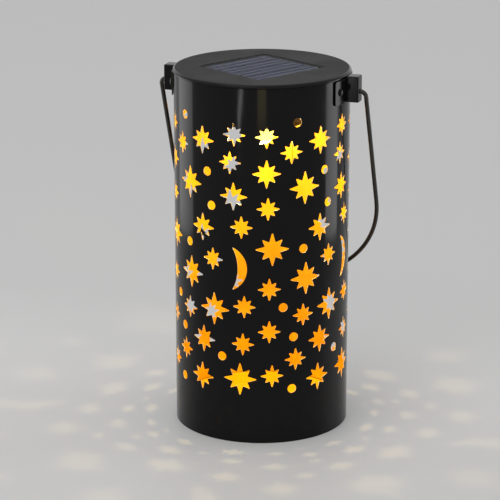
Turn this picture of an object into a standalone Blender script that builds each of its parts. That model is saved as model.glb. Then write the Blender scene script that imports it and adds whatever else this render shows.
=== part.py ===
"""Star-pattern solar lantern, built from its separate pieces.

A perforated sheet is rolled into a tube with a stepped lap seam, and a pressed pan closes its foot. A flat
lid with a solar panel drops into the tube's top and carries the light engine below it: housing, cell, board,
switch and lamp. Two folded brackets are riveted to the tube and hold a wire bail.

Units are metres. The tube stands on z = 0 with its axis on Z, its front faces -Y, its seam is at +Y, and
the brackets are on +X and -X.
"""

import math

import bmesh
import bpy
from mathutils import Matrix
from mathutils import Vector

MM = 0.001

# Clearances
GAP = 0.3 * MM                 # between two pieces that rest on each other
FIT = 0.4 * MM                 # round a piece that slides or turns in another

# Facets of the round pieces
TUBE_FACETS = 32               # tube, lid and base, which nest in each other
HOUSING_FACETS = 24
CELL_FACETS = 18
LAMP_FACETS = 16
HOLE_FACETS = 12
SCREW_FACETS = 8
POST_FACETS = 8
PEG_FACETS = 6
CREASE_ANGLE = math.radians(30)    # edges that turn by more than this are shaded sharp

# Tube
OVERALL_HEIGHT = 250 * MM      # foot to the top of the lid
TUBE_RADIUS = 60 * MM
TUBE_WALL = 0.8 * MM
SEAM_ANGLE = math.radians(90)
SEAM_LAP = 8 * MM              # width of the sheet that lies under the other edge
SEAM_STEP = 1.4 * MM           # length of the ramp that steps the sheet in

# Cut-out pattern, laid out on the flat sheet: x along it from the front line, y up from the lower blank band
BLANK_FOOT = 34 * MM           # height of the plain band at the foot
BLANK_TOP = 22 * MM            # plain band below the lid's top
BLANK_SEAM = 32 * MM           # plain strip at the seam
LAYOUT_HEIGHT = 194 * MM       # band height that the places below are drawn for
PATTERN_PITCH = 86 * MM        # the layout repeats along the sheet
SMALL_STAR = 16 * MM
LARGE_STAR = 19.5 * MM
GRAND_STAR = 23 * MM
SHORT_RAY = 0.82               # diagonal rays, as a share of the upright ones
STAR_NOTCH = 0.48              # depth of the corners between the rays, as a share of the upright rays
DOT = 6.2 * MM
DOT_SIDES = 6
MOON_HEIGHT = 30 * MM
MOON_BULGE = 10.4 * MM         # outer arc's height over the line through the tips
MOON_HOLLOW = 4 * MM           # inner arc's height over the same line
MOON_STEPS = 7                 # of the outer arc
CUT_REACH = 3 * MM             # how far a cutter stands out on each side of the sheet
SMALL_STAR_PLACES = (
    (21, 181), (-1, 182), (38, 170), (-4, 163), (22, 132), (4, 119), (-17, 95),
    (23, 76), (6, 63.5), (47, 56.5), (23, 46), (5, 37), (41.5, 25.5), (25, 14.5),
)
LARGE_STAR_PLACES = ((-25.5, 176), (21, 156), (-1.5, 140), (-25.5, 116), (-25, 37), (-26.5, 10))
GRAND_STAR_PLACES = ((48, 145), (25, 104), (49, 82), (-16, 60), (3, 12))
DOT_PLACES = ((42, 190), (-21.5, 155), (-18, 132), (47, 103), (32.5, 63), (40, 41.5), (-10, 27), (39, 4.5))
MOON_PLACES = ((-2.5, 90),)

# Base pan
PAN_SHEET = 0.8 * MM
PAN_FLANGE = 10 * MM           # height of the turned-up edge
PAN_BEND = 1.2 * MM
DRAIN_HOLE = 6 * MM
DRAIN_CIRCLE = 42 * MM
DRAIN_COUNT = 4

# Lid
LID_OVERHANG = 0.8 * MM        # how far the lid stands out past the tube
LID_ROUND = 2 * MM
LID_ROUND_STEPS = 3
LID_RIM = 2.4 * MM
LID_PLATE = 1.6 * MM
SKIRT_DEPTH = 5.6 * MM         # below the rim, inside the tube
SKIRT_WALL = 1.2 * MM
PANEL_SIDE = 60 * MM
PANEL_TURN = math.radians(-30)
POCKET_WALL = 1.7 * MM
POCKET_FLOOR = 1.6 * MM
WINDOW_THICK = 1.0 * MM
CELL_THICK = 0.3 * MM
CELL_COUNT = 4
CELL_SPACE = 1 * MM
CELL_MARGIN = 2 * MM
PANEL_BOARD_THICK = 1.2 * MM
LID_BOSS_RADIUS = 3.4 * MM
LEAD_HOLE_RADIUS = 3 * MM

# Seal and light housing
SEAL_THICK = 0.8 * MM
SEAL_WIDTH = 3 * MM
HOUSING_WALL = 1.8 * MM
HOUSING_FLANGE = 8 * MM        # width of the flange outside the wall
HOUSING_FLANGE_THICK = 1.4 * MM
THROAT_LIP = 6.2 * MM          # how far the flange reaches in from the wall, round the opening at the top
BOSS_RADIUS = 3.1 * MM         # posts in the housing for the cover's screws
ENGINE_SPACE = 1.1 * MM        # between the cradle's corners and the housing's wall
HEADROOM = 3.7 * MM            # between the cell and the flange above it
HOUSING_BOSS_HEIGHT = 12 * MM
COVER_THICK = 1.8 * MM
COVER_CHAMFER = 0.8 * MM
COLLAR_WALL = 1.5 * MM
COLLAR_DEPTH = 2.4 * MM

# Screws
SCREW_RADIUS = 1.3 * MM
SCREW_HEAD_RADIUS = 2.6 * MM
SCREW_HEAD = 1.8 * MM
SCREW_GRIP = 4.5 * MM          # length of the thread past the piece that it clamps
HOUSING_SCREW_COUNT = 4
COVER_SCREW_COUNT = 3

# Circuit board, cell and switch
BOARD_CLEAR = 0.5 * MM         # round the board, to the housing's posts
BOARD_THICK = 1.4 * MM
STANDOFF_RADIUS = 2.4 * MM
STANDOFF_EDGE = 4.9 * MM       # from the middle of a post to the board's edge
STANDOFF_COUNT = 3
STANDOFF_START = math.radians(30)
PEG_RADIUS = 1 * MM
CHIP_SIZE = (5 * MM, 4 * MM, 1.6 * MM)
CHIP_PLACE = (-9 * MM, -15 * MM)
COIL_RADIUS = 2.6 * MM
COIL_HEIGHT = 4 * MM
COIL_PLACE = (9 * MM, -15 * MM)
BATTERY_RADIUS = 7.25 * MM
BATTERY_LENGTH = 49.3 * MM     # without the nub
BATTERY_NUB_RADIUS = 2.7 * MM
BATTERY_NUB = 1.2 * MM
BATTERY_SHIFT = 3 * MM         # cell's axis behind the centre
CRADLE_WALL = 1.4 * MM
CONTACT_SHEET = 0.5 * MM
CONTACT_SIDE = 8.6 * MM
SPRING_LENGTH = 3 * MM
SPRING_WIRE = 0.6 * MM
SPRING_SMALL = 2.4 * MM
SPRING_LARGE = 4.8 * MM
SPRING_TURNS = 2.5
SPRING_STEPS = 8               # a turn
SWITCH_SIZE = (9.2 * MM, 4.4 * MM)
SWITCH_HEIGHT = 4 * MM
SWITCH_MARGIN = 1.6 * MM       # between the slider's slot and the lamp's collar
SWITCH_SHIFT = -4 * MM
SWITCH_WALL = 0.8 * MM
SLIDER_SIZE = (2.4 * MM, 2 * MM)
SLIDER_PROUD = 1.6 * MM        # below the cover
SLIDER_TRAVEL = 3 * MM

# Lamp
SPACER_RADIUS = 4.5 * MM
SPACER_BORE = 2.9 * MM
SPACER_BELOW = 6.2 * MM        # length below the cover
LED_RADIUS = 2.5 * MM
LED_LENGTH = 8.2 * MM
LED_COLLAR = 0.4 * MM
LED_COLLAR_HEIGHT = 1 * MM
LED_PIN = 0.5 * MM
LED_PIN_SPACE = 2.54 * MM
DOME_STEPS = 3
DIFFUSER_RADIUS = 9 * MM
DIFFUSER_WALL = 1.2 * MM
DIFFUSER_FLANGE = 2.5 * MM
DIFFUSER_LENGTH = 18 * MM

# Brackets, rivets and bail
BRACKET_SHEET = 1 * MM
BRACKET_STANDOUT = 9 * MM      # outer face beyond the tube
BRACKET_WIDTH = 10 * MM
BRACKET_DROP = 2 * MM          # top of the ear below the lid's top
BRACKET_HEIGHT = 17.5 * MM
BRACKET_FOLD = 0.8 * MM
FOOT_ANGLE = math.radians(20)  # half of the base plate's arc
FOOT_FACETS = 6
FOOT_STEP = 1.1 * MM           # top of the base plate below the top of the ear
PIVOT_DROP = 12.5 * MM         # pivot below the lid's top
RIVET_RADIUS = 1.5 * MM
RIVET_HEAD_RADIUS = 2.7 * MM
RIVET_HEAD = 1.2 * MM
RIVET_TAIL = 0.9 * MM
RIVET_TAIL_RADIUS = 2.2 * MM
RIVET_ANGLE = math.radians(14)
RIVET_CLEAR = 0.8 * MM         # between the rivets' inner heads and the lid's skirt
BAIL_WIRE = 3 * MM
BAIL_LEG = 92 * MM             # pivot to the start of the round end
BAIL_SIDE = 2.2 * MM           # leg's clearance to the ear
BAIL_BEND = 4.5 * MM
BAIL_PIN = 5 * MM              # length of the end inside the ear
BAIL_ARC_STEPS = 18
BAIL_BEND_STEPS = 4
LEAD_RADIUS = 0.6 * MM
LEAD_SPACE = 1.3 * MM
LEAD_PLACE = -12 * MM
LEAD_SLACK = 2 * MM
LEAD_STEPS = 6

# Levels and radii worked out from the sizes above
LID_RADIUS = TUBE_RADIUS + LID_OVERHANG
RIM_BOTTOM = OVERALL_HEIGHT - LID_RIM
PLATE_BOTTOM = OVERALL_HEIGHT - LID_PLATE
TUBE_TOP = RIM_BOTTOM - GAP
TUBE_INSIDE = TUBE_RADIUS - TUBE_WALL
SKIRT_BOTTOM = RIM_BOTTOM - SKIRT_DEPTH
WINDOW_BOTTOM = OVERALL_HEIGHT - WINDOW_THICK
CELL_TOP = WINDOW_BOTTOM - GAP
PANEL_BOARD_TOP = CELL_TOP - CELL_THICK - GAP
POCKET_BOTTOM = PANEL_BOARD_TOP - PANEL_BOARD_THICK - GAP
TRAY_BOTTOM = POCKET_BOTTOM - POCKET_FLOOR
TRAY_HALF = PANEL_SIDE / 2 + GAP + POCKET_WALL
SEAL_TOP = TRAY_BOTTOM - GAP
SEAL_BOTTOM = SEAL_TOP - SEAL_THICK
FLANGE_TOP = SEAL_BOTTOM - GAP
FLANGE_BOTTOM = FLANGE_TOP - HOUSING_FLANGE_THICK
BATTERY_AXIS = FLANGE_BOTTOM - HEADROOM - BATTERY_RADIUS
CRADLE_BOTTOM = BATTERY_AXIS - BATTERY_RADIUS - GAP - CRADLE_WALL
BOARD_TOP = CRADLE_BOTTOM - GAP
BOARD_BOTTOM = BOARD_TOP - BOARD_THICK
SWITCH_BOTTOM = BOARD_BOTTOM - GAP - SWITCH_HEIGHT
COVER_TOP = SWITCH_BOTTOM - GAP
COVER_BOTTOM = COVER_TOP - COVER_THICK
HOUSING_BOTTOM = COVER_TOP + GAP
CAVITY_LENGTH = BATTERY_LENGTH + BATTERY_NUB + SPRING_LENGTH + CONTACT_SHEET + 4 * GAP
CRADLE_END = CAVITY_LENGTH / 2 + CRADLE_WALL
CRADLE_HALF = BATTERY_RADIUS + GAP + CRADLE_WALL / 2
HOUSING_INSIDE = math.hypot(CRADLE_END, CRADLE_HALF + BATTERY_SHIFT) + ENGINE_SPACE
HOUSING_RADIUS = HOUSING_INSIDE + HOUSING_WALL
HOUSING_THROAT = HOUSING_INSIDE - THROAT_LIP
FLANGE_RADIUS = HOUSING_RADIUS + HOUSING_FLANGE
LID_SCREW_CIRCLE = HOUSING_RADIUS + HOUSING_FLANGE / 2
COVER_SCREW_CIRCLE = HOUSING_RADIUS - HOUSING_WALL / 2 - BOSS_RADIUS
BOARD_RADIUS = COVER_SCREW_CIRCLE - BOSS_RADIUS - BOARD_CLEAR
STANDOFF_CIRCLE = BOARD_RADIUS - STANDOFF_EDGE
COLLAR_INSIDE = DIFFUSER_RADIUS + DIFFUSER_FLANGE + GAP
COLLAR_RADIUS = COLLAR_INSIDE + COLLAR_WALL
SLOT_SIZE = (SLIDER_SIZE[0] + SLIDER_TRAVEL + 2 * FIT, SLIDER_SIZE[1] + 2 * FIT)
SWITCH_PLACE = (-COLLAR_RADIUS - SWITCH_MARGIN - SLOT_SIZE[0] / 2, SWITCH_SHIFT)
LED_TOP = COVER_BOTTOM - SPACER_BELOW - GAP
BRACKET_FACE = TUBE_RADIUS + BRACKET_STANDOUT
BRACKET_TOP = OVERALL_HEIGHT - BRACKET_DROP
BRACKET_BOTTOM = BRACKET_TOP - BRACKET_HEIGHT
PIVOT_HEIGHT = OVERALL_HEIGHT - PIVOT_DROP
RIVET_HEIGHT = SKIRT_BOTTOM - RIVET_TAIL_RADIUS - RIVET_CLEAR
BAIL_REACH = BRACKET_FACE + BAIL_SIDE + BAIL_WIRE / 2
BAIL_LEAN = math.asin((TUBE_RADIUS + BAIL_WIRE / 2 + GAP) / (BAIL_LEG + BAIL_REACH))
BEYOND = 5 * MM                # how far a cutter runs past what it cuts


def clear_scene():
    """Removes every object, so that only the lantern is left."""
    for old in list(bpy.data.objects):
        bpy.data.objects.remove(old, do_unlink=True)


def new_collection(name):
    """A collection linked to the scene."""
    collection = bpy.data.collections.new(name)
    bpy.context.scene.collection.children.link(collection)
    return collection


def finish(name, colour, roughness, metallic):
    """A plain material with one colour."""
    material = bpy.data.materials.new(name)
    material.use_nodes = True
    shader = material.node_tree.nodes["Principled BSDF"]
    shader.inputs["Base Color"].default_value = (*colour, 1)
    shader.inputs["Roughness"].default_value = roughness
    shader.inputs["Metallic"].default_value = metallic
    return material


def add_part(name, data, material):
    """Puts mesh or curve data into the lantern's collection as one named piece."""
    part = bpy.data.objects.new(name, data)
    PARTS.objects.link(part)
    data.materials.append(material)
    return part


def add_cutter(name, mesh):
    """Puts a helper shape into the cutters' collection, where nothing renders it."""
    cutter = bpy.data.objects.new(name, mesh)
    CUTTERS.objects.link(cutter)
    cutter.hide_render = True
    cutter.display_type = "WIRE"
    return cutter


def mesh_of(bm, name):
    """Turns a bmesh into a mesh."""
    mesh = bpy.data.meshes.new(name)
    bm.to_mesh(mesh)
    bm.free()
    return mesh


def add_block(bm, low, high, turn=0.0):
    """A box between two corners, turned about the Z axis."""
    size = Vector(high) - Vector(low)
    middle = (Vector(high) + Vector(low)) / 2
    place = Matrix.Rotation(turn, 4, "Z") @ Matrix.Translation(middle) @ Matrix.Diagonal((*size, 1))
    bmesh.ops.create_cube(bm, size=1, matrix=place)


def block_mesh(name, low, high, turn=0.0):
    """The mesh of one box."""
    bm = bmesh.new()
    add_block(bm, low, high, turn)
    return mesh_of(bm, name)


def add_drum(bm, radius, low, high, place, sides):
    """An upright cylinder over a point of the plan."""
    middle = Matrix.Translation((place[0], place[1], (low + high) / 2))
    bmesh.ops.create_cone(
        bm, cap_ends=True, segments=sides, radius1=radius, radius2=radius, depth=high - low, matrix=middle
    )


def drum_mesh(name, radius, low, high, places=((0.0, 0.0),), sides=16):
    """The mesh of upright cylinders, one over each place."""
    bm = bmesh.new()
    for place in places:
        add_drum(bm, radius, low, high, place, sides)
    return mesh_of(bm, name)


def circle_places(radius, count, start=0.0):
    """Points spread evenly on a circle."""
    angles = [start + 2 * math.pi * k / count for k in range(count)]
    return [(radius * math.cos(angle), radius * math.sin(angle)) for angle in angles]


def profile_mesh(name, points, ring=False):
    """A turning profile of (radius, height) points. A ring's profile is closed."""
    edges = [(k, k + 1) for k in range(len(points) - 1)]
    if ring:
        edges.append((len(points) - 1, 0))
    mesh = bpy.data.meshes.new(name)
    mesh.from_pydata([(r, 0, z) for r, z in points], edges, [])
    return mesh


def turn_profile(part, facets):
    """Turns a profile once round the Z axis."""
    screw = part.modifiers.new("Turn", "SCREW")
    screw.steps = facets
    screw.render_steps = facets
    screw.use_merge_vertices = True
    screw.merge_threshold = 0.01 * MM
    return part


def boolean(part, tool, operation):
    """Cuts or joins a part with a helper shape, which moves with the part."""
    tool.parent = part
    modifier = part.modifiers.new(tool.name, "BOOLEAN")
    modifier.operation = operation
    modifier.object = tool
    modifier.solver = "EXACT"


def cut(part, mesh):
    """Takes a shape away from a part."""
    boolean(part, add_cutter(mesh.name, mesh), "DIFFERENCE")


def join(part, mesh):
    """Adds a shape to a part, so that they are one solid."""
    boolean(part, add_cutter(mesh.name, mesh), "UNION")


def outline_mesh(name, outline, depth):
    """A flat outline extruded to a closed plate, centred on its own plane."""
    curve = bpy.data.curves.new(name, "CURVE")
    curve.dimensions = "2D"
    curve.fill_mode = "BOTH"
    curve.extrude = depth / 2
    spline = curve.splines.new("POLY")
    spline.points.add(len(outline) - 1)
    for point, (x, y) in zip(spline.points, outline):
        point.co = (x, y, 0, 1)
    spline.use_cyclic_u = True
    holder = bpy.data.objects.new(name, curve)
    CUTTERS.objects.link(holder)
    graph = bpy.context.evaluated_depsgraph_get()
    mesh = bpy.data.meshes.new_from_object(holder.evaluated_get(graph))
    bpy.data.objects.remove(holder, do_unlink=True)
    bm = bmesh.new()
    bm.from_mesh(mesh)
    bmesh.ops.remove_doubles(bm, verts=bm.verts, dist=0.001 * MM)
    bmesh.ops.recalc_face_normals(bm, faces=bm.faces)
    return mesh_of(bm, name)


def radial_frame(angle, radius, height):
    """Axes on the tube's surface: X along the sheet, Y up, Z outwards."""
    along = Vector((-math.sin(angle), math.cos(angle), 0))
    outward = Vector((math.cos(angle), math.sin(angle), 0))
    turn = Matrix((along, Vector((0, 0, 1)), outward)).transposed().to_4x4()
    return Matrix.Translation(outward * radius + Vector((0, 0, height))) @ turn


def star_outline(size):
    """Eight rays round the centre, the diagonal ones shorter, with a notch between each."""
    points = []
    for k in range(16):
        share = STAR_NOTCH if k % 2 else (SHORT_RAY if k % 4 else 1.0)
        angle = math.pi / 2 + k * math.pi / 8
        points.append((size / 2 * share * math.cos(angle), size / 2 * share * math.sin(angle)))
    return points


def dot_outline(size):
    """A small round hole."""
    return circle_places(size / 2, DOT_SIDES, math.pi / DOT_SIDES)


def arc_through_tips(bulge, steps):
    """Points of the arc through both tips of the moon that stands out by the bulge, lower tip first."""
    half = MOON_HEIGHT / 2
    radius = (half * half + bulge * bulge) / (2 * bulge)
    reach = math.asin(half / radius)
    if bulge > half:
        reach = math.pi - reach
    angles = [-reach + 2 * reach * k / steps for k in range(steps + 1)]
    return [(bulge - radius + radius * math.cos(a), radius * math.sin(a)) for a in angles]


def moon_outline():
    """A crescent between two arcs that share their tips and both bulge along +X."""
    outer = arc_through_tips(MOON_BULGE, MOON_STEPS)
    inner = arc_through_tips(MOON_HOLLOW, MOON_STEPS - 2)
    return outer + inner[-2:0:-1]


def cut_out_places(places, size):
    """Angle and height of every copy of some cut-outs, without those that would run into the seam's strip."""
    stretch = (OVERALL_HEIGHT - BLANK_TOP - BLANK_FOOT) / LAYOUT_HEIGHT
    half_sheet = math.pi * TUBE_RADIUS
    copies = math.ceil(half_sheet / PATTERN_PITCH)
    found = []
    for copy in range(-copies, copies + 1):
        for x, y in places:
            along = x * MM + copy * PATTERN_PITCH
            if abs(along) + size / 2 <= half_sheet - BLANK_SEAM / 2:
                angle = SEAM_ANGLE + math.pi + along / TUBE_RADIUS
                found.append((angle, BLANK_FOOT + y * MM * stretch))
    return found


def add_copies(bm, mesh, frames):
    """Adds a mesh to a bmesh once for each frame."""
    for frame in frames:
        before = len(bm.verts)
        bm.from_mesh(mesh)
        bm.verts.ensure_lookup_table()
        bmesh.ops.transform(bm, matrix=frame, verts=bm.verts[before:])


def pattern_cutter():
    """All the stars, dots and moons as prisms that stand through the sheet."""
    depth = 2 * CUT_REACH
    kinds = (
        (star_outline(SMALL_STAR), SMALL_STAR_PLACES, SMALL_STAR),
        (star_outline(LARGE_STAR), LARGE_STAR_PLACES, LARGE_STAR),
        (star_outline(GRAND_STAR), GRAND_STAR_PLACES, GRAND_STAR),
        (dot_outline(DOT), DOT_PLACES, DOT),
        (moon_outline(), MOON_PLACES, 2 * MOON_BULGE),
    )
    bm = bmesh.new()
    for outline, places, size in kinds:
        prism = outline_mesh("prism", outline, depth)
        frames = [radial_frame(a, TUBE_RADIUS - TUBE_WALL / 2, z) for a, z in cut_out_places(places, size)]
        add_copies(bm, prism, frames)
        bpy.data.meshes.remove(prism)
    return mesh_of(bm, "pattern_cuts")


def rivet_frames():
    """One frame on the tube's surface for each rivet, two beside each ear."""
    angles = [side + step for side in (0, math.pi) for step in (-RIVET_ANGLE, RIVET_ANGLE)]
    return [radial_frame(angle, TUBE_RADIUS, RIVET_HEIGHT) for angle in angles]


def rivet_holes():
    """Drills for the rivets' shanks, through the brackets and the tube."""
    drill = drum_mesh("drill", RIVET_RADIUS + GAP, -BEYOND, BEYOND, sides=SCREW_FACETS)
    bm = bmesh.new()
    add_copies(bm, drill, rivet_frames())
    bpy.data.meshes.remove(drill)
    return mesh_of(bm, "rivet_holes")


def seam_line():
    """Middle line of the rolled sheet: once round, then a ramp inwards, then under its own first edge."""
    middle = TUBE_RADIUS - TUBE_WALL / 2
    tucked = middle - TUBE_WALL - GAP
    step = 2 * math.pi / TUBE_FACETS
    first = SEAM_ANGLE - SEAM_LAP / 2 / TUBE_RADIUS
    ramp_end = first + 2 * math.pi - GAP / TUBE_RADIUS
    ramp_start = ramp_end - SEAM_STEP / TUBE_RADIUS
    last = first + 2 * math.pi + SEAM_LAP / TUBE_RADIUS
    grid = [k * step for k in range(2 * TUBE_FACETS)]
    line = [(first, middle)]
    line += [(a, middle) for a in grid if first + step / 4 < a < ramp_start - step / 4]
    line += [(ramp_start, middle), (ramp_end, tucked)]
    line += [(a, tucked) for a in grid if ramp_end + step / 4 < a < last - step / 4]
    line.append((last, tucked))
    return [(radius * math.cos(angle), radius * math.sin(angle)) for angle, radius in line]


def sheet_mesh(name, line, low, high):
    """An upright open surface over a line of the plan."""
    bm = bmesh.new()
    lower = [bm.verts.new((x, y, low)) for x, y in line]
    upper = [bm.verts.new((x, y, high)) for x, y in line]
    for k in range(len(line) - 1):
        bm.faces.new((lower[k], lower[k + 1], upper[k + 1], upper[k]))
    return mesh_of(bm, name)


def thicken(part, thickness):
    """Gives an open surface its thickness, half on each side."""
    solidify = part.modifiers.new("Sheet", "SOLIDIFY")
    solidify.thickness = thickness
    solidify.offset = 0
    solidify.use_even_offset = True


def make_tube():
    """Rolled sheet with its pattern and rivet holes, its tucked edge cut back for the pan and the lid."""
    part = add_part("perforated_tube", sheet_mesh("perforated_tube", seam_line(), 0, TUBE_TOP), BLACK_GLOSS)
    thicken(part, TUBE_WALL)
    relief = TUBE_INSIDE - GAP / 2
    pan_relief = drum_mesh("pan_relief", relief, -BEYOND, PAN_FLANGE + 2 * GAP, sides=TUBE_FACETS)
    lid_relief = drum_mesh("lid_relief", relief, SKIRT_BOTTOM - FIT, TUBE_TOP + BEYOND, sides=TUBE_FACETS)
    cut(part, pan_relief)
    cut(part, lid_relief)
    cut(part, pattern_cutter())
    cut(part, rivet_holes())
    return part


def make_base():
    """Pressed pan that closes the foot, with its edge turned up and drain holes in its floor."""
    radius = TUBE_INSIDE - GAP
    inside = radius - PAN_SHEET
    profile = [
        (0, PAN_SHEET),
        (inside - PAN_BEND, PAN_SHEET),
        (inside, PAN_SHEET + PAN_BEND),
        (inside, PAN_FLANGE),
        (radius, PAN_FLANGE),
        (radius, PAN_BEND),
        (radius - PAN_BEND, 0),
        (0, 0),
    ]
    part = turn_profile(add_part("base_plate", profile_mesh("base_plate", profile), BLACK_GLOSS), TUBE_FACETS)
    holes = circle_places(DRAIN_CIRCLE, DRAIN_COUNT, math.pi / DRAIN_COUNT)
    cut(part, drum_mesh("drain_holes", DRAIN_HOLE / 2, -BEYOND, PAN_SHEET + BEYOND, holes, HOLE_FACETS))
    return part


def lid_screw_places():
    """The screws stand outside the middle of each side of the panel's tray."""
    return circle_places(LID_SCREW_CIRCLE, HOUSING_SCREW_COUNT, PANEL_TURN)


def make_lid():
    """Flat lid with a rounded edge, a skirt that locates it in the tube, and a tray for the panel."""
    skirt = TUBE_INSIDE - FIT
    corner = LID_RADIUS - LID_ROUND
    profile = [(0, OVERALL_HEIGHT)]
    for k in range(LID_ROUND_STEPS + 1):
        angle = math.pi / 2 * (1 - k / LID_ROUND_STEPS)
        height = OVERALL_HEIGHT - LID_ROUND + LID_ROUND * math.sin(angle)
        profile.append((corner + LID_ROUND * math.cos(angle), height))
    profile += [
        (LID_RADIUS, RIM_BOTTOM),
        (skirt, RIM_BOTTOM),
        (skirt, SKIRT_BOTTOM),
        (skirt - SKIRT_WALL, SKIRT_BOTTOM),
        (skirt - SKIRT_WALL, PLATE_BOTTOM),
        (0, PLATE_BOTTOM),
    ]
    part = turn_profile(add_part("lid_shell", profile_mesh("lid_shell", profile), BLACK_SATIN), TUBE_FACETS)
    inside = PLATE_BOTTOM + LID_PLATE / 2
    tray_low = (-TRAY_HALF, -TRAY_HALF, TRAY_BOTTOM)
    tray_high = (TRAY_HALF, TRAY_HALF, inside)
    join(part, block_mesh("panel_tray", tray_low, tray_high, PANEL_TURN))
    boss_low = FLANGE_TOP + GAP
    screws = lid_screw_places()
    join(part, drum_mesh("lid_bosses", LID_BOSS_RADIUS, boss_low, inside, screws, SCREW_FACETS))
    half = PANEL_SIDE / 2 + GAP
    pocket_high = (half, half, OVERALL_HEIGHT + BEYOND)
    cut(part, block_mesh("panel_pocket", (-half, -half, POCKET_BOTTOM), pocket_high, PANEL_TURN))
    depth = FLANGE_BOTTOM + HOUSING_FLANGE_THICK + SCREW_GRIP
    cut(part, drum_mesh("boss_holes", SCREW_RADIUS + GAP, boss_low - BEYOND, depth, screws, SCREW_FACETS))
    lead = ((0, LEAD_PLACE),)
    through = POCKET_BOTTOM + BEYOND
    cut(part, drum_mesh("lead_hole", LEAD_HOLE_RADIUS, TRAY_BOTTOM - BEYOND, through, lead, HOLE_FACETS))
    return part


def make_panel():
    """Clear window, the cells under it and the board that they are laid on."""
    half = PANEL_SIDE / 2
    pane = block_mesh("solar_window", (-half, -half, WINDOW_BOTTOM), (half, half, OVERALL_HEIGHT), PANEL_TURN)
    window = add_part("solar_window", pane, CLEAR)
    room = PANEL_SIDE - 2 * CELL_MARGIN
    width = (room - (CELL_COUNT - 1) * CELL_SPACE) / CELL_COUNT
    cells = []
    for k in range(CELL_COUNT):
        left = -room / 2 + k * (width + CELL_SPACE)
        name = f"solar_cell_{k + 1}"
        low = (left, -room / 2, CELL_TOP - CELL_THICK)
        wafer = block_mesh(name, low, (left + width, room / 2, CELL_TOP), PANEL_TURN)
        cells.append(add_part(name, wafer, CELL_BLUE))
    low = (-half, -half, PANEL_BOARD_TOP - PANEL_BOARD_THICK)
    backing = block_mesh("panel_board", low, (half, half, PANEL_BOARD_TOP), PANEL_TURN)
    return [window, *cells, add_part("panel_board", backing, BOARD_DARK)]


def make_seal():
    """Flat rubber ring between the lid's tray and the housing's flange."""
    outer = min(TRAY_HALF, HOUSING_INSIDE) - GAP
    inner = outer - SEAL_WIDTH
    profile = [(outer, SEAL_TOP), (outer, SEAL_BOTTOM), (inner, SEAL_BOTTOM), (inner, SEAL_TOP)]
    part = add_part("lid_seal_ring", profile_mesh("lid_seal_ring", profile, ring=True), RUBBER)
    return turn_profile(part, HOUSING_FACETS)


def cover_screw_places():
    """Places of the screws that hold the cover."""
    return circle_places(COVER_SCREW_CIRCLE, COVER_SCREW_COUNT, math.pi / 2)


def make_housing():
    """Round plastic wall with a flange that is screwed under the lid, and bosses for the cover's screws."""
    profile = [
        (FLANGE_RADIUS, FLANGE_TOP),
        (FLANGE_RADIUS, FLANGE_BOTTOM),
        (HOUSING_RADIUS, FLANGE_BOTTOM),
        (HOUSING_RADIUS, HOUSING_BOTTOM),
        (HOUSING_INSIDE, HOUSING_BOTTOM),
        (HOUSING_INSIDE, FLANGE_BOTTOM),
        (HOUSING_THROAT, FLANGE_BOTTOM),
        (HOUSING_THROAT, FLANGE_TOP),
    ]
    part = add_part("light_housing", profile_mesh("light_housing", profile, ring=True), BLACK_PLASTIC)
    turn_profile(part, HOUSING_FACETS)
    high = HOUSING_BOTTOM + HOUSING_BOSS_HEIGHT
    places = cover_screw_places()
    join(part, drum_mesh("housing_bosses", BOSS_RADIUS, HOUSING_BOTTOM, high, places, POST_FACETS))
    depth = COVER_TOP + SCREW_GRIP + GAP
    bore = SCREW_RADIUS + GAP
    cut(part, drum_mesh("cover_screw_holes", bore, HOUSING_BOTTOM - BEYOND, depth, places, SCREW_FACETS))
    through = FLANGE_TOP + GAP / 2
    places = lid_screw_places()
    cut(part, drum_mesh("flange_holes", bore, FLANGE_BOTTOM - BEYOND, through, places, SCREW_FACETS))
    return part


def turned_copies(name, profile, facets, frames, material):
    """Equal turned pieces that share one profile, each its own object in its own frame."""
    mesh = profile_mesh(name, profile)
    mesh.materials.append(material)
    copies = []
    for number, frame in enumerate(frames, 1):
        copy = bpy.data.objects.new(f"{name}_{number}", mesh)
        PARTS.objects.link(copy)
        copy.matrix_world = frame
        copies.append(turn_profile(copy, facets))
    return copies


def make_screws(name, under, grip, places):
    """Pan-head screws that point up through a hole: the head stays below the given height."""
    seat = under - GAP
    profile = [
        (0, grip),
        (SCREW_RADIUS, grip),
        (SCREW_RADIUS, seat),
        (SCREW_HEAD_RADIUS, seat),
        (SCREW_HEAD_RADIUS, seat - SCREW_HEAD / 2),
        (SCREW_HEAD_RADIUS / 2, seat - SCREW_HEAD),
        (0, seat - SCREW_HEAD),
    ]
    frames = [Matrix.Translation((x, y, 0)) for x, y in places]
    return turned_copies(name, profile, SCREW_FACETS, frames, STEEL)


def standoff_places():
    """Places of the cover's posts that carry the circuit board."""
    return circle_places(STANDOFF_CIRCLE, STANDOFF_COUNT, STANDOFF_START)


def slot_mesh(name, low, high):
    """Room for the slider over its whole travel."""
    half = (SLOT_SIZE[0] / 2, SLOT_SIZE[1] / 2)
    x, y = SWITCH_PLACE
    return block_mesh(name, (x - half[0], y - half[1], low), (x + half[0], y + half[1], high))


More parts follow.
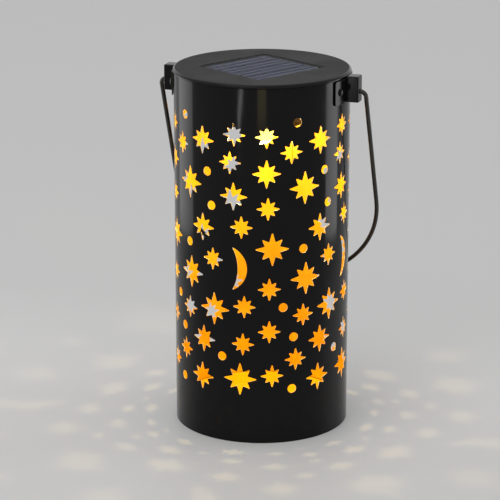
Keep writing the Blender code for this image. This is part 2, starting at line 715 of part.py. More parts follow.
def make_cover():
    """Round plate under the housing: posts for the board, a collar for the lamp's cap, the switch's slot."""
    profile = [
        (0, COVER_TOP),
        (HOUSING_RADIUS, COVER_TOP),
        (HOUSING_RADIUS, COVER_BOTTOM + COVER_CHAMFER),
        (HOUSING_RADIUS - COVER_CHAMFER, COVER_BOTTOM),
        (0, COVER_BOTTOM),
    ]
    part = add_part("housing_cover", profile_mesh("housing_cover", profile), BLACK_PLASTIC)
    turn_profile(part, HOUSING_FACETS)
    inside = COVER_TOP - COVER_THICK / 2
    join(part, drum_mesh("collar", COLLAR_RADIUS, COVER_BOTTOM - COLLAR_DEPTH, inside, sides=CELL_FACETS))
    cut(part, drum_mesh("collar_bore", COLLAR_INSIDE, COVER_BOTTOM - BEYOND, COVER_BOTTOM, sides=CELL_FACETS))
    posts = standoff_places()
    join(part, drum_mesh("posts", STANDOFF_RADIUS, inside, BOARD_BOTTOM - GAP, posts, POST_FACETS))
    join(part, drum_mesh("pegs", PEG_RADIUS, inside, BOARD_TOP + GAP, posts, PEG_FACETS))
    low = COVER_BOTTOM - BEYOND
    high = COVER_TOP + BEYOND
    cut(part, drum_mesh("lamp_hole", SPACER_RADIUS + GAP, low, high, sides=LAMP_FACETS))
    cut(part, slot_mesh("cover_slot", low, high))
    cut(part, drum_mesh("cover_holes", SCREW_RADIUS + GAP, low, high, cover_screw_places(), SCREW_FACETS))
    return part


def make_board():
    """Round circuit board on the cover's posts."""
    blank = drum_mesh("circuit_board", BOARD_RADIUS, BOARD_BOTTOM, BOARD_TOP, sides=HOUSING_FACETS)
    part = add_part("circuit_board", blank, GREEN)
    low = BOARD_BOTTOM - BEYOND
    high = BOARD_TOP + BEYOND
    cut(part, drum_mesh("peg_holes", PEG_RADIUS + GAP, low, high, standoff_places(), PEG_FACETS))
    cut(part, drum_mesh("lamp_pin_hole", SPACER_BORE, low, high, sides=HOLE_FACETS))
    return part


def make_components():
    """Driver chip and choke on top of the board."""
    x, y = CHIP_PLACE
    half = (CHIP_SIZE[0] / 2, CHIP_SIZE[1] / 2)
    seat = BOARD_TOP + GAP
    top = seat + CHIP_SIZE[2]
    chip = block_mesh("driver_chip", (x - half[0], y - half[1], seat), (x + half[0], y + half[1], top))
    coil = drum_mesh("driver_choke", COIL_RADIUS, seat, seat + COIL_HEIGHT, (COIL_PLACE,), HOLE_FACETS)
    return [add_part("driver_chip", chip, BLACK_PLASTIC), add_part("driver_choke", coil, BLACK_PLASTIC)]


def lying_drum(name, radius, left, right, sides):
    """A cylinder along X at the cell's height."""
    turn = Matrix.Rotation(math.pi / 2, 4, "Y")
    place = Matrix.Translation(((left + right) / 2, BATTERY_SHIFT, BATTERY_AXIS)) @ turn
    bm = bmesh.new()
    bmesh.ops.create_cone(
        bm, cap_ends=True, segments=sides, radius1=radius, radius2=radius, depth=right - left, matrix=place
    )
    return mesh_of(bm, name)


def make_battery():
    """Rechargeable cell, its trough, the plate at its nub and the spring at its other end."""
    end = CAVITY_LENGTH / 2
    low = (-CRADLE_END, BATTERY_SHIFT - CRADLE_HALF, CRADLE_BOTTOM)
    block = block_mesh("battery_cradle", low, (CRADLE_END, BATTERY_SHIFT + CRADLE_HALF, BATTERY_AXIS))
    cradle = add_part("battery_cradle", block, BLACK_PLASTIC)
    cut(cradle, lying_drum("cradle_trough", BATTERY_RADIUS + GAP, -end, end, CELL_FACETS))
    plate_left = end - GAP - CONTACT_SHEET
    nub_end = plate_left - GAP
    right = nub_end - BATTERY_NUB
    left = right - BATTERY_LENGTH
    can = lying_drum("battery_cell", BATTERY_RADIUS, left, right, CELL_FACETS)
    cell = add_part("battery_cell", can, CELL_WRAP)
    join(cell, lying_drum("battery_nub", BATTERY_NUB_RADIUS, right - BATTERY_NUB, nub_end, HOLE_FACETS))
    contact = CONTACT_SIDE / 2
    plate_low = (plate_left, BATTERY_SHIFT - contact, BATTERY_AXIS - contact)
    plate_high = (plate_left + CONTACT_SHEET, BATTERY_SHIFT + contact, BATTERY_AXIS + contact)
    plate = add_part("battery_plate", block_mesh("battery_plate", plate_low, plate_high), STEEL)
    return [cradle, cell, plate, make_spring(-end + GAP, left - GAP)]


def make_spring(start, end):
    """Conical contact spring along X, wide at the wall and narrow at the cell."""
    count = round(SPRING_TURNS * SPRING_STEPS)
    spring_axis = Vector((0, BATTERY_SHIFT, BATTERY_AXIS))
    curve = bpy.data.curves.new("battery_spring", "CURVE")
    curve.dimensions = "3D"
    spline = curve.splines.new("POLY")
    spline.points.add(count)
    for k, point in enumerate(spline.points):
        share = k / count
        angle = 2 * math.pi * k / SPRING_STEPS
        radius = SPRING_LARGE + (SPRING_SMALL - SPRING_LARGE) * share
        x = start + SPRING_WIRE / 2 + (end - start - SPRING_WIRE) * share
        place = spring_axis + Vector((x, radius * math.cos(angle), radius * math.sin(angle)))
        point.co = (*place, 1)
    return add_wire("battery_spring", curve, SPRING_WIRE / 2, 1, STEEL)


def add_wire(name, curve, radius, resolution, material):
    """Gives a curve its round section and closed ends."""
    curve.bevel_depth = radius
    curve.bevel_resolution = resolution
    curve.use_fill_caps = True
    return add_part(name, curve, material)


def make_switch():
    """Slide switch on the board's underside, whose slider reaches through the cover."""
    x, y = SWITCH_PLACE
    half = (SWITCH_SIZE[0] / 2, SWITCH_SIZE[1] / 2)
    top = SWITCH_BOTTOM + SWITCH_HEIGHT
    low = (x - half[0], y - half[1], SWITCH_BOTTOM)
    body = add_part("switch_body", block_mesh("switch_body", low, (x + half[0], y + half[1], top)), STEEL)
    cut(body, slot_mesh("switch_slot", SWITCH_BOTTOM - BEYOND, top - SWITCH_WALL))
    slider_top = top - SWITCH_WALL - FIT
    slider_low = COVER_BOTTOM - SLIDER_PROUD
    height = slider_top - slider_low
    size = (SLIDER_SIZE[0] / 2, SLIDER_SIZE[1] / 2, height / 2)
    slider = add_part("switch_slider", block_mesh("switch_slider", [-s for s in size], size), WHITE_PLASTIC)
    slider.location = (x - SLIDER_TRAVEL / 2, y, slider_low + height / 2)
    return [body, slider]


def make_lamp():
    """Spacer, warm lamp on two pins, and the frosted cap over it."""
    spacer_bottom = COVER_BOTTOM - SPACER_BELOW
    spacer_top = BOARD_BOTTOM - GAP
    profile = [
        (SPACER_RADIUS, spacer_top),
        (SPACER_RADIUS, spacer_bottom),
        (SPACER_BORE, spacer_bottom),
        (SPACER_BORE, spacer_top),
    ]
    spacer = add_part("lamp_spacer", profile_mesh("lamp_spacer", profile, ring=True), WHITE_PLASTIC)
    turn_profile(spacer, LAMP_FACETS)
    collar_bottom = LED_TOP - LED_COLLAR_HEIGHT
    lens = [
        (0, LED_TOP),
        (LED_RADIUS + LED_COLLAR, LED_TOP),
        (LED_RADIUS + LED_COLLAR, collar_bottom),
        (LED_RADIUS, collar_bottom),
    ]
    shoulder = LED_TOP - LED_LENGTH + LED_RADIUS
    for k in range(DOME_STEPS + 1):
        angle = math.pi / 2 * k / DOME_STEPS
        lens.append((LED_RADIUS * math.cos(angle), shoulder - LED_RADIUS * math.sin(angle)))
    lamp = turn_profile(add_part("led_lamp", profile_mesh("led_lamp", lens), WARM_LIGHT), LAMP_FACETS)
    bm = bmesh.new()
    pin = LED_PIN / 2
    for side in (-1, 1):
        x = side * LED_PIN_SPACE / 2
        add_block(bm, (x - pin, -pin, collar_bottom), (x + pin, pin, BOARD_TOP))
    join(lamp, mesh_of(bm, "lamp_pins"))
    return [spacer, lamp, make_diffuser()]


def make_diffuser():
    """Frosted cap: a flange in the cover's collar, a straight wall and a round end."""
    top = COVER_BOTTOM - GAP
    centre = top - DIFFUSER_LENGTH + DIFFUSER_RADIUS
    inside = DIFFUSER_RADIUS - DIFFUSER_WALL
    angles = [math.pi / 2 * k / DOME_STEPS for k in range(DOME_STEPS + 1)]
    profile = [
        (DIFFUSER_RADIUS + DIFFUSER_FLANGE, top),
        (DIFFUSER_RADIUS + DIFFUSER_FLANGE, top - DIFFUSER_WALL),
        (DIFFUSER_RADIUS, top - DIFFUSER_WALL),
    ]
    profile += [(DIFFUSER_RADIUS * math.cos(a), centre - DIFFUSER_RADIUS * math.sin(a)) for a in angles]
    profile += [(inside * math.cos(a), centre - inside * math.sin(a)) for a in reversed(angles)]
    profile.append((inside, top))
    part = add_part("lamp_diffuser", profile_mesh("lamp_diffuser", profile, ring=True), FROSTED)
    return turn_profile(part, LAMP_FACETS)


def make_leads():
    """Two soft wires from the panel's board down to the circuit board, each with a little slack."""
    top = POCKET_BOTTOM
    bottom = BOARD_TOP + GAP
    leads = []
    for name, side, material in (("panel_lead_red", 1, RED_WIRE), ("panel_lead_black", -1, RUBBER)):
        curve = bpy.data.curves.new(name, "CURVE")
        curve.dimensions = "3D"
        spline = curve.splines.new("POLY")
        spline.points.add(LEAD_STEPS)
        for k, point in enumerate(spline.points):
            share = k / LEAD_STEPS
            bow = LEAD_SLACK * math.sin(math.pi * share)
            point.co = (side * (LEAD_SPACE + bow), LEAD_PLACE - bow, top + (bottom - top) * share, 1)
        leads.append(add_wire(name, curve, LEAD_RADIUS, 1, material))
    return leads


def make_bracket(name, angle):
    """Folded ear: a plate that hugs the tube and a box open below, with the bail's hole in its outer face."""
    middle = TUBE_RADIUS + GAP + BRACKET_SHEET / 2
    spread = [-FOOT_ANGLE + 2 * FOOT_ANGLE * k / FOOT_FACETS for k in range(FOOT_FACETS + 1)]
    line = [(middle * math.cos(a), middle * math.sin(a)) for a in spread]
    foot_top = BRACKET_TOP - FOOT_STEP
    part = add_part(name, sheet_mesh(name, line, BRACKET_BOTTOM, foot_top), BLACK_GLOSS)
    thicken(part, BRACKET_SHEET)
    half = BRACKET_WIDTH / 2
    ear_low = (TUBE_RADIUS - BEYOND, -half, BRACKET_BOTTOM - BEYOND)
    ear = block_mesh(name + "_ear", ear_low, (BRACKET_FACE, half, BRACKET_TOP))
    ear_tool = add_cutter(ear.name, ear)
    fold = ear_tool.modifiers.new("Fold", "BEVEL")
    fold.width = BRACKET_FOLD
    fold.segments = 2
    fold.limit_method = "ANGLE"
    inner = half - BRACKET_SHEET
    room_low = (TUBE_RADIUS - 2 * BEYOND, -inner, BRACKET_BOTTOM - 2 * BEYOND)
    room_high = (BRACKET_FACE - BRACKET_SHEET, inner, BRACKET_TOP - BRACKET_SHEET)
    below_low = (TUBE_RADIUS - 2 * BEYOND, -BRACKET_WIDTH, BRACKET_BOTTOM - 2 * BEYOND)
    below_high = (BRACKET_FACE + BEYOND, BRACKET_WIDTH, BRACKET_BOTTOM)
    trims = (
        drum_mesh(name + "_tube_room", middle, BRACKET_BOTTOM - 2 * BEYOND, foot_top, sides=TUBE_FACETS),
        drum_mesh(name + "_lid_room", LID_RADIUS + GAP, foot_top, BRACKET_TOP + BEYOND, sides=TUBE_FACETS),
        block_mesh(name + "_room", room_low, room_high),
        block_mesh(name + "_below", below_low, below_high),
    )
    for mesh in trims:
        boolean(ear_tool, add_cutter(mesh.name, mesh), "DIFFERENCE")
    boolean(part, ear_tool, "UNION")
    turn = Matrix.Rotation(math.pi / 2, 4, "Y")
    hole = BAIL_WIRE / 2 + FIT
    bm = bmesh.new()
    bmesh.ops.create_cone(
        bm, cap_ends=True, segments=HOLE_FACETS, radius1=hole, radius2=hole, depth=2 * BEYOND,
        matrix=Matrix.Translation((BRACKET_FACE, 0, PIVOT_HEIGHT)) @ turn
    )
    cut(part, mesh_of(bm, name + "_pivot_hole"))
    cut(part, rivet_holes())
    part.rotation_euler = (0, 0, angle)
    return part


def make_rivets():
    """Domed rivets through the brackets' plates and the tube."""
    seat = 2 * GAP + BRACKET_SHEET
    tail = -TUBE_WALL - GAP
    profile = [(0, seat + RIVET_HEAD)]
    for angle in (math.pi / 4, 0):
        profile.append((RIVET_HEAD_RADIUS * math.cos(angle), seat + RIVET_HEAD * math.sin(angle)))
    profile += [
        (RIVET_RADIUS, seat),
        (RIVET_RADIUS, tail),
        (RIVET_TAIL_RADIUS, tail),
        (RIVET_TAIL_RADIUS, tail - RIVET_TAIL),
        (0, tail - RIVET_TAIL),
    ]
    return turned_copies("bracket_rivet", profile, SCREW_FACETS, rivet_frames(), STEEL)


def bail_line():
    """Half of the bail's middle line as (sideways, along) points from the pivot: pin, bend, leg, round end."""
    line = [(BRACKET_FACE - BAIL_PIN, 0)]
    centre = BAIL_REACH - BAIL_BEND
    for k in range(BAIL_BEND_STEPS + 1):
        angle = math.pi / 2 * k / BAIL_BEND_STEPS
        line.append((centre + BAIL_BEND * math.sin(angle), BAIL_BEND - BAIL_BEND * math.cos(angle)))
    half = BAIL_ARC_STEPS // 2
    for k in range(half + 1):
        angle = math.pi / 2 * k / half
        line.append((BAIL_REACH * math.cos(angle), BAIL_LEG + BAIL_REACH * math.sin(angle)))
    return line


def make_bail():
    """Wire handle, which hangs down behind the tube and leans on it."""
    half = bail_line()
    line = half + [(-x, s) for x, s in reversed(half[:-1])]
    curve = bpy.data.curves.new("bail_handle", "CURVE")
    curve.dimensions = "3D"
    spline = curve.splines.new("POLY")
    spline.points.add(len(line) - 1)
    for point, (x, s) in zip(spline.points, line):
        point.co = (x, 0, -s, 1)
    part = add_wire("bail_handle", curve, BAIL_WIRE / 2, 2, BLACK_SATIN)
    part.location = (0, 0, PIVOT_HEIGHT)
    part.rotation_euler = (BAIL_LEAN, 0, 0)
    return part


def crease_group():
    """Node group that shades faces smooth but keeps edges sharp past the crease angle."""
    group = bpy.data.node_groups.new("shade_by_angle", "GeometryNodeTree")
    group.interface.new_socket("Geometry", in_out="INPUT", socket_type="NodeSocketGeometry")
    group.interface.new_socket("Geometry", in_out="OUTPUT", socket_type="NodeSocketGeometry")
    nodes = group.nodes
    shape = nodes.new("NodeGroupInput")
    result = nodes.new("NodeGroupOutput")
    faces = nodes.new("GeometryNodeSetShadeSmooth")
    edges = nodes.new("GeometryNodeSetShadeSmooth")
    edges.domain = "EDGE"
    turn = nodes.new("GeometryNodeInputMeshEdgeAngle")
    shallow = nodes.new("ShaderNodeMath")
    shallow.operation = "LESS_THAN"
    shallow.inputs[1].default_value = CREASE_ANGLE
    group.links.new(shape.outputs[0], faces.inputs["Geometry"])
    group.links.new(faces.outputs[0], edges.inputs["Geometry"])
    group.links.new(turn.outputs["Unsigned Angle"], shallow.inputs[0])
    group.links.new(shallow.outputs[0], edges.inputs["Shade Smooth"])
    group.links.new(edges.outputs[0], result.inputs[0])
    return group


def shade_round_pieces():
    """Gives every solid piece the shading by angle, after its other modifiers."""
    group = crease_group()
    for part in PARTS.objects:
        if part.type == "MESH":
            part.modifiers.new("Shading", "NODES").node_group = group


def hang_on_lid(pieces):
    """Parents the lid's pieces to an empty at the lid's seat, so that they lift out together."""
    seat = bpy.data.objects.new("lid_assembly", None)
    PARTS.objects.link(seat)
    seat.location = (0, 0, TUBE_TOP)
    back = Matrix.Translation(seat.location).inverted()
    for piece in pieces:
        piece.parent = seat
        piece.matrix_parent_inverse = back


clear_scene()
PARTS = new_collection("solar_lantern")
CUTTERS = new_collection("cutters")
BLACK_GLOSS = finish("black_gloss", (0.012, 0.012, 0.013), 0.18, 0.0)
BLACK_SATIN = finish("black_satin", (0.015, 0.015, 0.016), 0.32, 0.0)
BLACK_PLASTIC = finish("black_plastic", (0.02, 0.02, 0.021), 0.5, 0.0)
WHITE_PLASTIC = finish("white_plastic", (0.8, 0.8, 0.78), 0.4, 0.0)
RUBBER = finish("rubber", (0.03, 0.03, 0.03), 0.8, 0.0)
CLEAR = finish("clear_window", (0.5, 0.55, 0.6), 0.1, 0.0)
CELL_BLUE = finish("cell_blue", (0.01, 0.014, 0.05), 0.25, 0.3)
BOARD_DARK = finish("board_dark", (0.02, 0.03, 0.03), 0.5, 0.0)
GREEN = finish("board_green", (0.02, 0.16, 0.06), 0.4, 0.0)
CELL_WRAP = finish("cell_wrap", (0.05, 0.25, 0.08), 0.35, 0.0)
STEEL = finish("plated_steel", (0.62, 0.62, 0.6), 0.3, 1.0)
WARM_LIGHT = finish("warm_lamp", (1.0, 0.75, 0.25), 0.2, 0.0)
FROSTED = finish("frosted_cap", (0.9, 0.85, 0.7), 0.5, 0.0)
RED_WIRE = finish("lead_insulation", (0.5, 0.03, 0.02), 0.4, 0.0)

make_tube()
make_base()
make_bracket("handle_bracket_right", 0)
make_bracket("handle_bracket_left", math.pi)
make_rivets()
make_bail()
hang_on_lid([
    make_lid(), *make_panel(), make_seal(), make_housing(), make_cover(), make_board(), *make_components(),
    *make_screws("housing_screw", FLANGE_BOTTOM, FLANGE_TOP + SCREW_GRIP - GAP, lid_screw_places()),
    *make_screws("cover_screw", COVER_BOTTOM, COVER_TOP + SCREW_GRIP, cover_screw_places()),
    *make_battery(), *make_switch(), *make_lamp(), *make_leads(),
])
shade_round_pieces()
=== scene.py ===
import math
from math import pi, radians

import bmesh
import bpy
import numpy as np
from mathutils import Matrix, Quaternion, Vector
from mathutils.geometry import delaunay_2d_cdt


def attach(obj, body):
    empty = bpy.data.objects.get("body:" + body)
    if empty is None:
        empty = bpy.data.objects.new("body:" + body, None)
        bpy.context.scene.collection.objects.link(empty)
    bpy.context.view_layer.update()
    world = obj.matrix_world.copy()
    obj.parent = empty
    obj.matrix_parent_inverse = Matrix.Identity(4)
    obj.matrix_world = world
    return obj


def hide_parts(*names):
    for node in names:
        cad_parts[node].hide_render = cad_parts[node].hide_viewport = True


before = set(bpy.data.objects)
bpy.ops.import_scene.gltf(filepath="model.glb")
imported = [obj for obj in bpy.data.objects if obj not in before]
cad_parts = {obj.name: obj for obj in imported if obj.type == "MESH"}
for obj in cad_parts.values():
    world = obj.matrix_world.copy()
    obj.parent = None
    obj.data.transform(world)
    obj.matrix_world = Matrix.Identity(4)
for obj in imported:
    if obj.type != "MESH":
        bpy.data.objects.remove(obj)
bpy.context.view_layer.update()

MM = 0.001

# Tube, pan and seam, as in the frame
HEIGHT = 250 * MM
TUBE_RADIUS = 60 * MM
TUBE_WALL = 0.8 * MM
TUBE_TOP = 247.3 * MM
SEAM_LAP = 8 * MM
SEAM_STEP = 1.4 * MM
SHEET_GAP = 0.3 * MM
TUCK_LOW = 10.1 * MM
TUCK_HIGH = 241.6 * MM
PAN_SHEET = 0.8 * MM
PAN_EDGE = 10 * MM
PAN_BEND = 1.2 * MM
PAN_RADIUS = TUBE_RADIUS - TUBE_WALL - SHEET_GAP

# Cut-out pattern, the same layout as the frame's
BLANK_FOOT = 34 * MM
BLANK_TOP = 22 * MM
BLANK_SEAM = 32 * MM
LAYOUT_HEIGHT = 194 * MM
PATTERN_PITCH = 86 * MM
SMALL_STAR = 16 * MM
LARGE_STAR = 19.5 * MM
GRAND_STAR = 23 * MM
DOT = 6.2 * MM
SHORT_RAY = 0.82
STAR_NOTCH = 0.48
RAY_ROUND = 0.42 * MM
NOTCH_ROUND = 0.35 * MM
MOON_HEIGHT = 30 * MM
MOON_BULGE = 10.4 * MM
MOON_HOLLOW = 4 * MM
MOON_TIP = 0.3 * MM
SMALL_STAR_PLACES = (
    (21, 181), (-1, 182), (38, 170), (-4, 163), (22, 132), (4, 119), (-17, 95),
    (23, 76), (6, 63.5), (47, 56.5), (23, 46), (5, 37), (41.5, 25.5), (25, 14.5),
)
LARGE_STAR_PLACES = ((-25.5, 176), (21, 156), (-1.5, 140), (-25.5, 116), (-25, 37), (-26.5, 10))
GRAND_STAR_PLACES = ((48, 145), (25, 104), (49, 82), (-16, 60), (3, 12))
DOT_PLACES = ((42, 190), (-21.5, 155), (-18, 132), (47, 103), (32.5, 63), (40, 41.5), (-10, 27), (39, 4.5))
MOON_PLACES = ((-2.5, 90),)

# Brackets, rivets and bail
PIVOT_HEIGHT = 237.5 * MM
RIVET_HEIGHT = 239 * MM
RIVET_ANGLE = radians(14)
RIVET_HOLE = 1.8 * MM
FOOT_ANGLE = radians(20)
FOOT_TOP = 246.9 * MM
BRACKET_SHEET = 1 * MM
BRACKET_HALF = 5 * MM
BRACKET_TOP = 248 * MM
BRACKET_LOW = 230.5 * MM
BRACKET_FACE = 69 * MM
BAIL_WIRE = 3 * MM
BAIL_LEG = 92 * MM
BAIL_REACH = 72.7 * MM
BAIL_BEND = 4.5 * MM
BAIL_LEAN = math.asin((TUBE_RADIUS + BAIL_WIRE / 2 + SHEET_GAP) / (BAIL_LEG + BAIL_REACH))

# Lid and solar panel
LID_TOP = HEIGHT
LID_RADIUS = 60.8 * MM
RIM_BOTTOM = 247.6 * MM
RIM_START = 58.5 * MM
PLATE_BOTTOM = 248.4 * MM
SKIRT_RADIUS = 58.8 * MM
SKIRT_INSIDE = 57.6 * MM
SKIRT_BOTTOM = 242 * MM
TRAY_HALF = 32 * MM
TRAY_BOTTOM = 245 * MM
POCKET_HALF = 30.3 * MM
POCKET_BOTTOM = 246.6 * MM
PANEL_TURN = radians(-30)
PANEL_HALF = 30 * MM
CELLS_HALF = 28 * MM
CELL_WIDTH = 13.25 * MM
CELL_PITCH = 14.25 * MM

# Light housing and what it holds
SEAL_TOP, SEAL_BOTTOM = 244.7 * MM, 243.9 * MM
SEAL_RADIUS, SEAL_INSIDE = 31.7 * MM, 28.7 * MM
FLANGE_RADIUS = 42 * MM
FLANGE_TOP = 243.6 * MM
FLANGE_BOTTOM = 242.2 * MM
THROAT = 26 * MM
HOUSING_RADIUS = 34 * MM
HOUSING_INSIDE = 32.2 * MM
HOUSING_BOTTOM = 216.3 * MM
COVER_TOP = 216 * MM
COVER_BOTTOM = 214.2 * MM
COVER_MIDDLE = (COVER_TOP + COVER_BOTTOM) / 2
CUT_LOW, CUT_HIGH = 205 * MM, 230 * MM    # ends of the cutters that go through the cover
COLLAR_RADIUS = 13.3 * MM
COLLAR_INSIDE = 11.8 * MM
COLLAR_BOTTOM = 211.8 * MM
BOARD_BOTTOM = 220.3 * MM
PIN_TOP = 222 * MM
SCREW_HOLE = 1.6 * MM
SCREW_SHANK, SCREW_CORE, SCREW_PITCH = 1.3 * MM, 1.05 * MM, 0.55 * MM
SCREW_HEAD, HEAD_HIGH = 2.6 * MM, 1.8 * MM
SLIDER_X, SLIDER_Y = -18 * MM, -4 * MM
SPACER_RADIUS, SPACER_INSIDE, SPACER_BOTTOM = 4.5 * MM, 2.9 * MM, 208 * MM
LED_TOP = 207.7 * MM
LED_COLLAR = 2.9 * MM
LED_RADIUS = 2.5 * MM
LED_LENGTH = 8.2 * MM
CAP_RADIUS = 9 * MM
CAP_FLANGE = 11.5 * MM
CAP_WALL = 1.2 * MM
CAP_TOP = 213.9 * MM
CAP_CENTRE = 204.9 * MM
CAP_TIP = 198 * MM                        # height where the resin's glow is strongest
GLOW_END = 214.5 * MM

# Camera and stage
CAMERA_AZIMUTH = radians(17)
CAMERA_ELEVATION = radians(16.45)
CAMERA_DISTANCE = 1.6
CAMERA_LENS = 166.13
AIM_SIDE = -8.1 * MM
AIM_UP = -4.75 * MM
FLOOR_HALF = 12.0
NARROW = radians(80)                 # spread of the softboxes that make the highlights


# Shapes

def smooth(mesh):
    """Shades a mesh smooth."""
    mesh.polygons.foreach_set("use_smooth", np.ones(len(mesh.polygons), bool))
    return mesh


def fill_mesh(name, points, faces, normals=None, marks=None):
    """A mesh from an array of points and a list of triangle and quad arrays.

    Normals are the surface's true directions at the points. Marks are named numbers per point.
    """
    mesh = bpy.data.meshes.new(name)
    corners = np.concatenate([f.ravel() for f in faces]).astype(np.int32)
    sizes = np.concatenate([np.full(len(f), f.shape[1]) for f in faces])
    starts = np.concatenate([[0], np.cumsum(sizes)[:-1]]).astype(np.int32)
    mesh.vertices.add(len(points))
    mesh.vertices.foreach_set("co", np.asarray(points, np.float32).ravel())
    mesh.loops.add(len(corners))
    mesh.loops.foreach_set("vertex_index", corners)
    mesh.polygons.add(len(starts))
    mesh.polygons.foreach_set("loop_start", starts)
    smooth(mesh).update(calc_edges=True)
    for key, values in (marks or {}).items():
        layer = mesh.attributes.new(key, "FLOAT", "POINT")
        layer.data.foreach_set("value", np.asarray(values, np.float32))
    if normals is not None:
        mesh.normals_split_custom_set_from_vertices(np.asarray(normals, float).tolist())
    return mesh


def place_object(name, data):
    """Puts a mesh, light or camera in the scene."""
    holder = bpy.data.objects.new(name, data)
    bpy.context.scene.collection.objects.link(holder)
    return holder


def add_piece(name, node_name, mesh, body, slot, *materials):
    """Puts a finished mesh in the scene on its body, in place of its frame node."""
    piece = place_object(name, mesh)
    for material in materials:
        mesh.materials.append(material)
    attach(piece, body)
    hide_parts(node_name)


def triples(items, key):
    """A three-number property of a mesh's points or faces, as an array."""
    values = np.zeros(len(items) * 3)
    items.foreach_get(key, values)
    return values.reshape(-1, 3)


def move_points(mesh, points):
    """Gives a mesh's points new places."""
    mesh.vertices.foreach_set("co", points.astype(np.float32).ravel())
    mesh.update()
    return mesh


def second_material(mesh, chosen):
    """Gives the chosen faces the second material."""
    mesh.polygons.foreach_set("material_index", chosen.astype(np.int32))
    mesh.update()


def unit(vectors):
    """Vectors scaled to length one."""
    return vectors / np.maximum(np.linalg.norm(vectors, axis=-1, keepdims=True), 1e-12)


def flat_cross(one, two):
    """Cross product of flat vectors: positive where the second is to the left of the first."""
    return one[..., 0] * two[..., 1] - one[..., 1] * two[..., 0]


def spokes(angle):
    """Flat directions at some angles."""
    return np.stack([np.cos(angle), np.sin(angle)], 1)


def circle(radius, count, start=0.0):
    """Points spread evenly on a circle, anticlockwise."""
    return radius * spokes(start + 2 * pi * np.arange(count) / count)


def between(low, high, count):
    """Even steps from one limit to another, without the limits."""
    return np.linspace(low, high, count)[1:-1]


def grid_points(x, y):
    """Points at all pairs of x and y."""
    return np.stack([part.ravel() for part in np.meshgrid(x, y)], 1)


def round_corners(corners, radii, steps, limit=0.48):
    """A closed outline with rounded corners, as one row of points for each corner.

    Each arc touches both sides at radius / tan(half the corner's angle), at most at the limit's share of a
    side. Its centre is on the bisector at radius / sin(half angle), and its points are even.
    """
    corners = np.asarray(corners, float)
    before, after = np.roll(corners, 1, 0) - corners, np.roll(corners, -1, 0) - corners
    reach = np.minimum(np.linalg.norm(before, axis=1), np.linalg.norm(after, axis=1)) * limit
    before, after = unit(before), unit(after)
    half = np.arccos(np.clip((before * after).sum(1), -1, 1)) / 2
    touch = np.minimum(np.broadcast_to(radii, half.shape) / np.tan(half), reach)
    centre = corners + unit(before + after) * (touch * np.tan(half) / np.sin(half))[:, None]
    start = corners + before * touch[:, None] - centre
    sweep = (pi - 2 * half) * np.where(flat_cross(before, after) > 0, -1, 1)
    angle = sweep[:, None] * np.linspace(0, 1, steps + 1)
    cos, sin = np.cos(angle), np.sin(angle)
    x = centre[:, :1] + start[:, :1] * cos - start[:, 1:] * sin
    y = centre[:, 1:] + start[:, :1] * sin + start[:, 1:] * cos
    return np.stack([x, y], -1)


def fillet(profile, closed=False, steps=4):
    """A profile of (radius, height, corner radius) points with rounded corners.

    A corner with radius 0 stays, and so do the two ends of an open profile.
    """
    corners, radii = np.hsplit(np.array(profile, float), [2])
    if not closed:
        radii[[0, -1]] = 0
    arcs = round_corners(corners, radii[:, 0], steps, math.inf)
    points = [arc if radius else corner[None] for arc, corner, radius in zip(arcs, corners, radii)]
    return np.concatenate(points)


def even_steps(loop, step):
    """A closed outline with points added on its sides, so that none is longer than the step."""
    ends = np.roll(loop, -1, 0)
    counts = np.maximum(1, np.ceil(np.linalg.norm(ends - loop, axis=1) / step).astype(int))
    first = np.repeat(np.arange(len(loop)), counts)
    share = (np.arange(counts.sum()) - np.repeat(np.cumsum(counts) - counts, counts)) / counts[first]
    return loop[first] + (ends[first] - loop[first]) * share[:, None]


def signed_area(loop):
    """Area of a closed outline, positive when it runs anticlockwise."""
    x, y = loop.T
    return float((x * np.roll(y, -1) - np.roll(x, -1) * y).sum() / 2)


def left_of(loop):
    """Unit directions to the left of a closed outline at its points: mean of the two sides' normals."""
    side = unit(np.roll(loop, -1, 0) - loop)
    normal = np.stack([-side[:, 1], side[:, 0]], 1)
    mean = normal + np.roll(normal, 1, 0)
    return mean / np.maximum(np.linalg.norm(mean, axis=1)[:, None], 0.6)


def inside_loop(points, loop):
    """Tells which points lie in a closed outline: a line to the right crosses it an odd number of times."""
    x1, y1 = loop.T
    x2, y2 = np.roll(x1, -1), np.roll(y1, -1)
    px, py = points[:, :1], points[:, 1:]
    spans = (y1 > py) != (y2 > py)
    crossing = x1 + (py - y1) * (x2 - x1) / np.where(y2 == y1, 1e-12, y2 - y1)
    return (spans & (px < crossing)).sum(1) % 2 == 1


def in_reach(points, loop):
    """Numbers of the points that lie in a small outline."""
    near = np.nonzero((np.abs(points - loop.mean(0)) < np.ptp(loop, axis=0)).all(1))[0]
    return near[inside_loop(points[near], loop)]


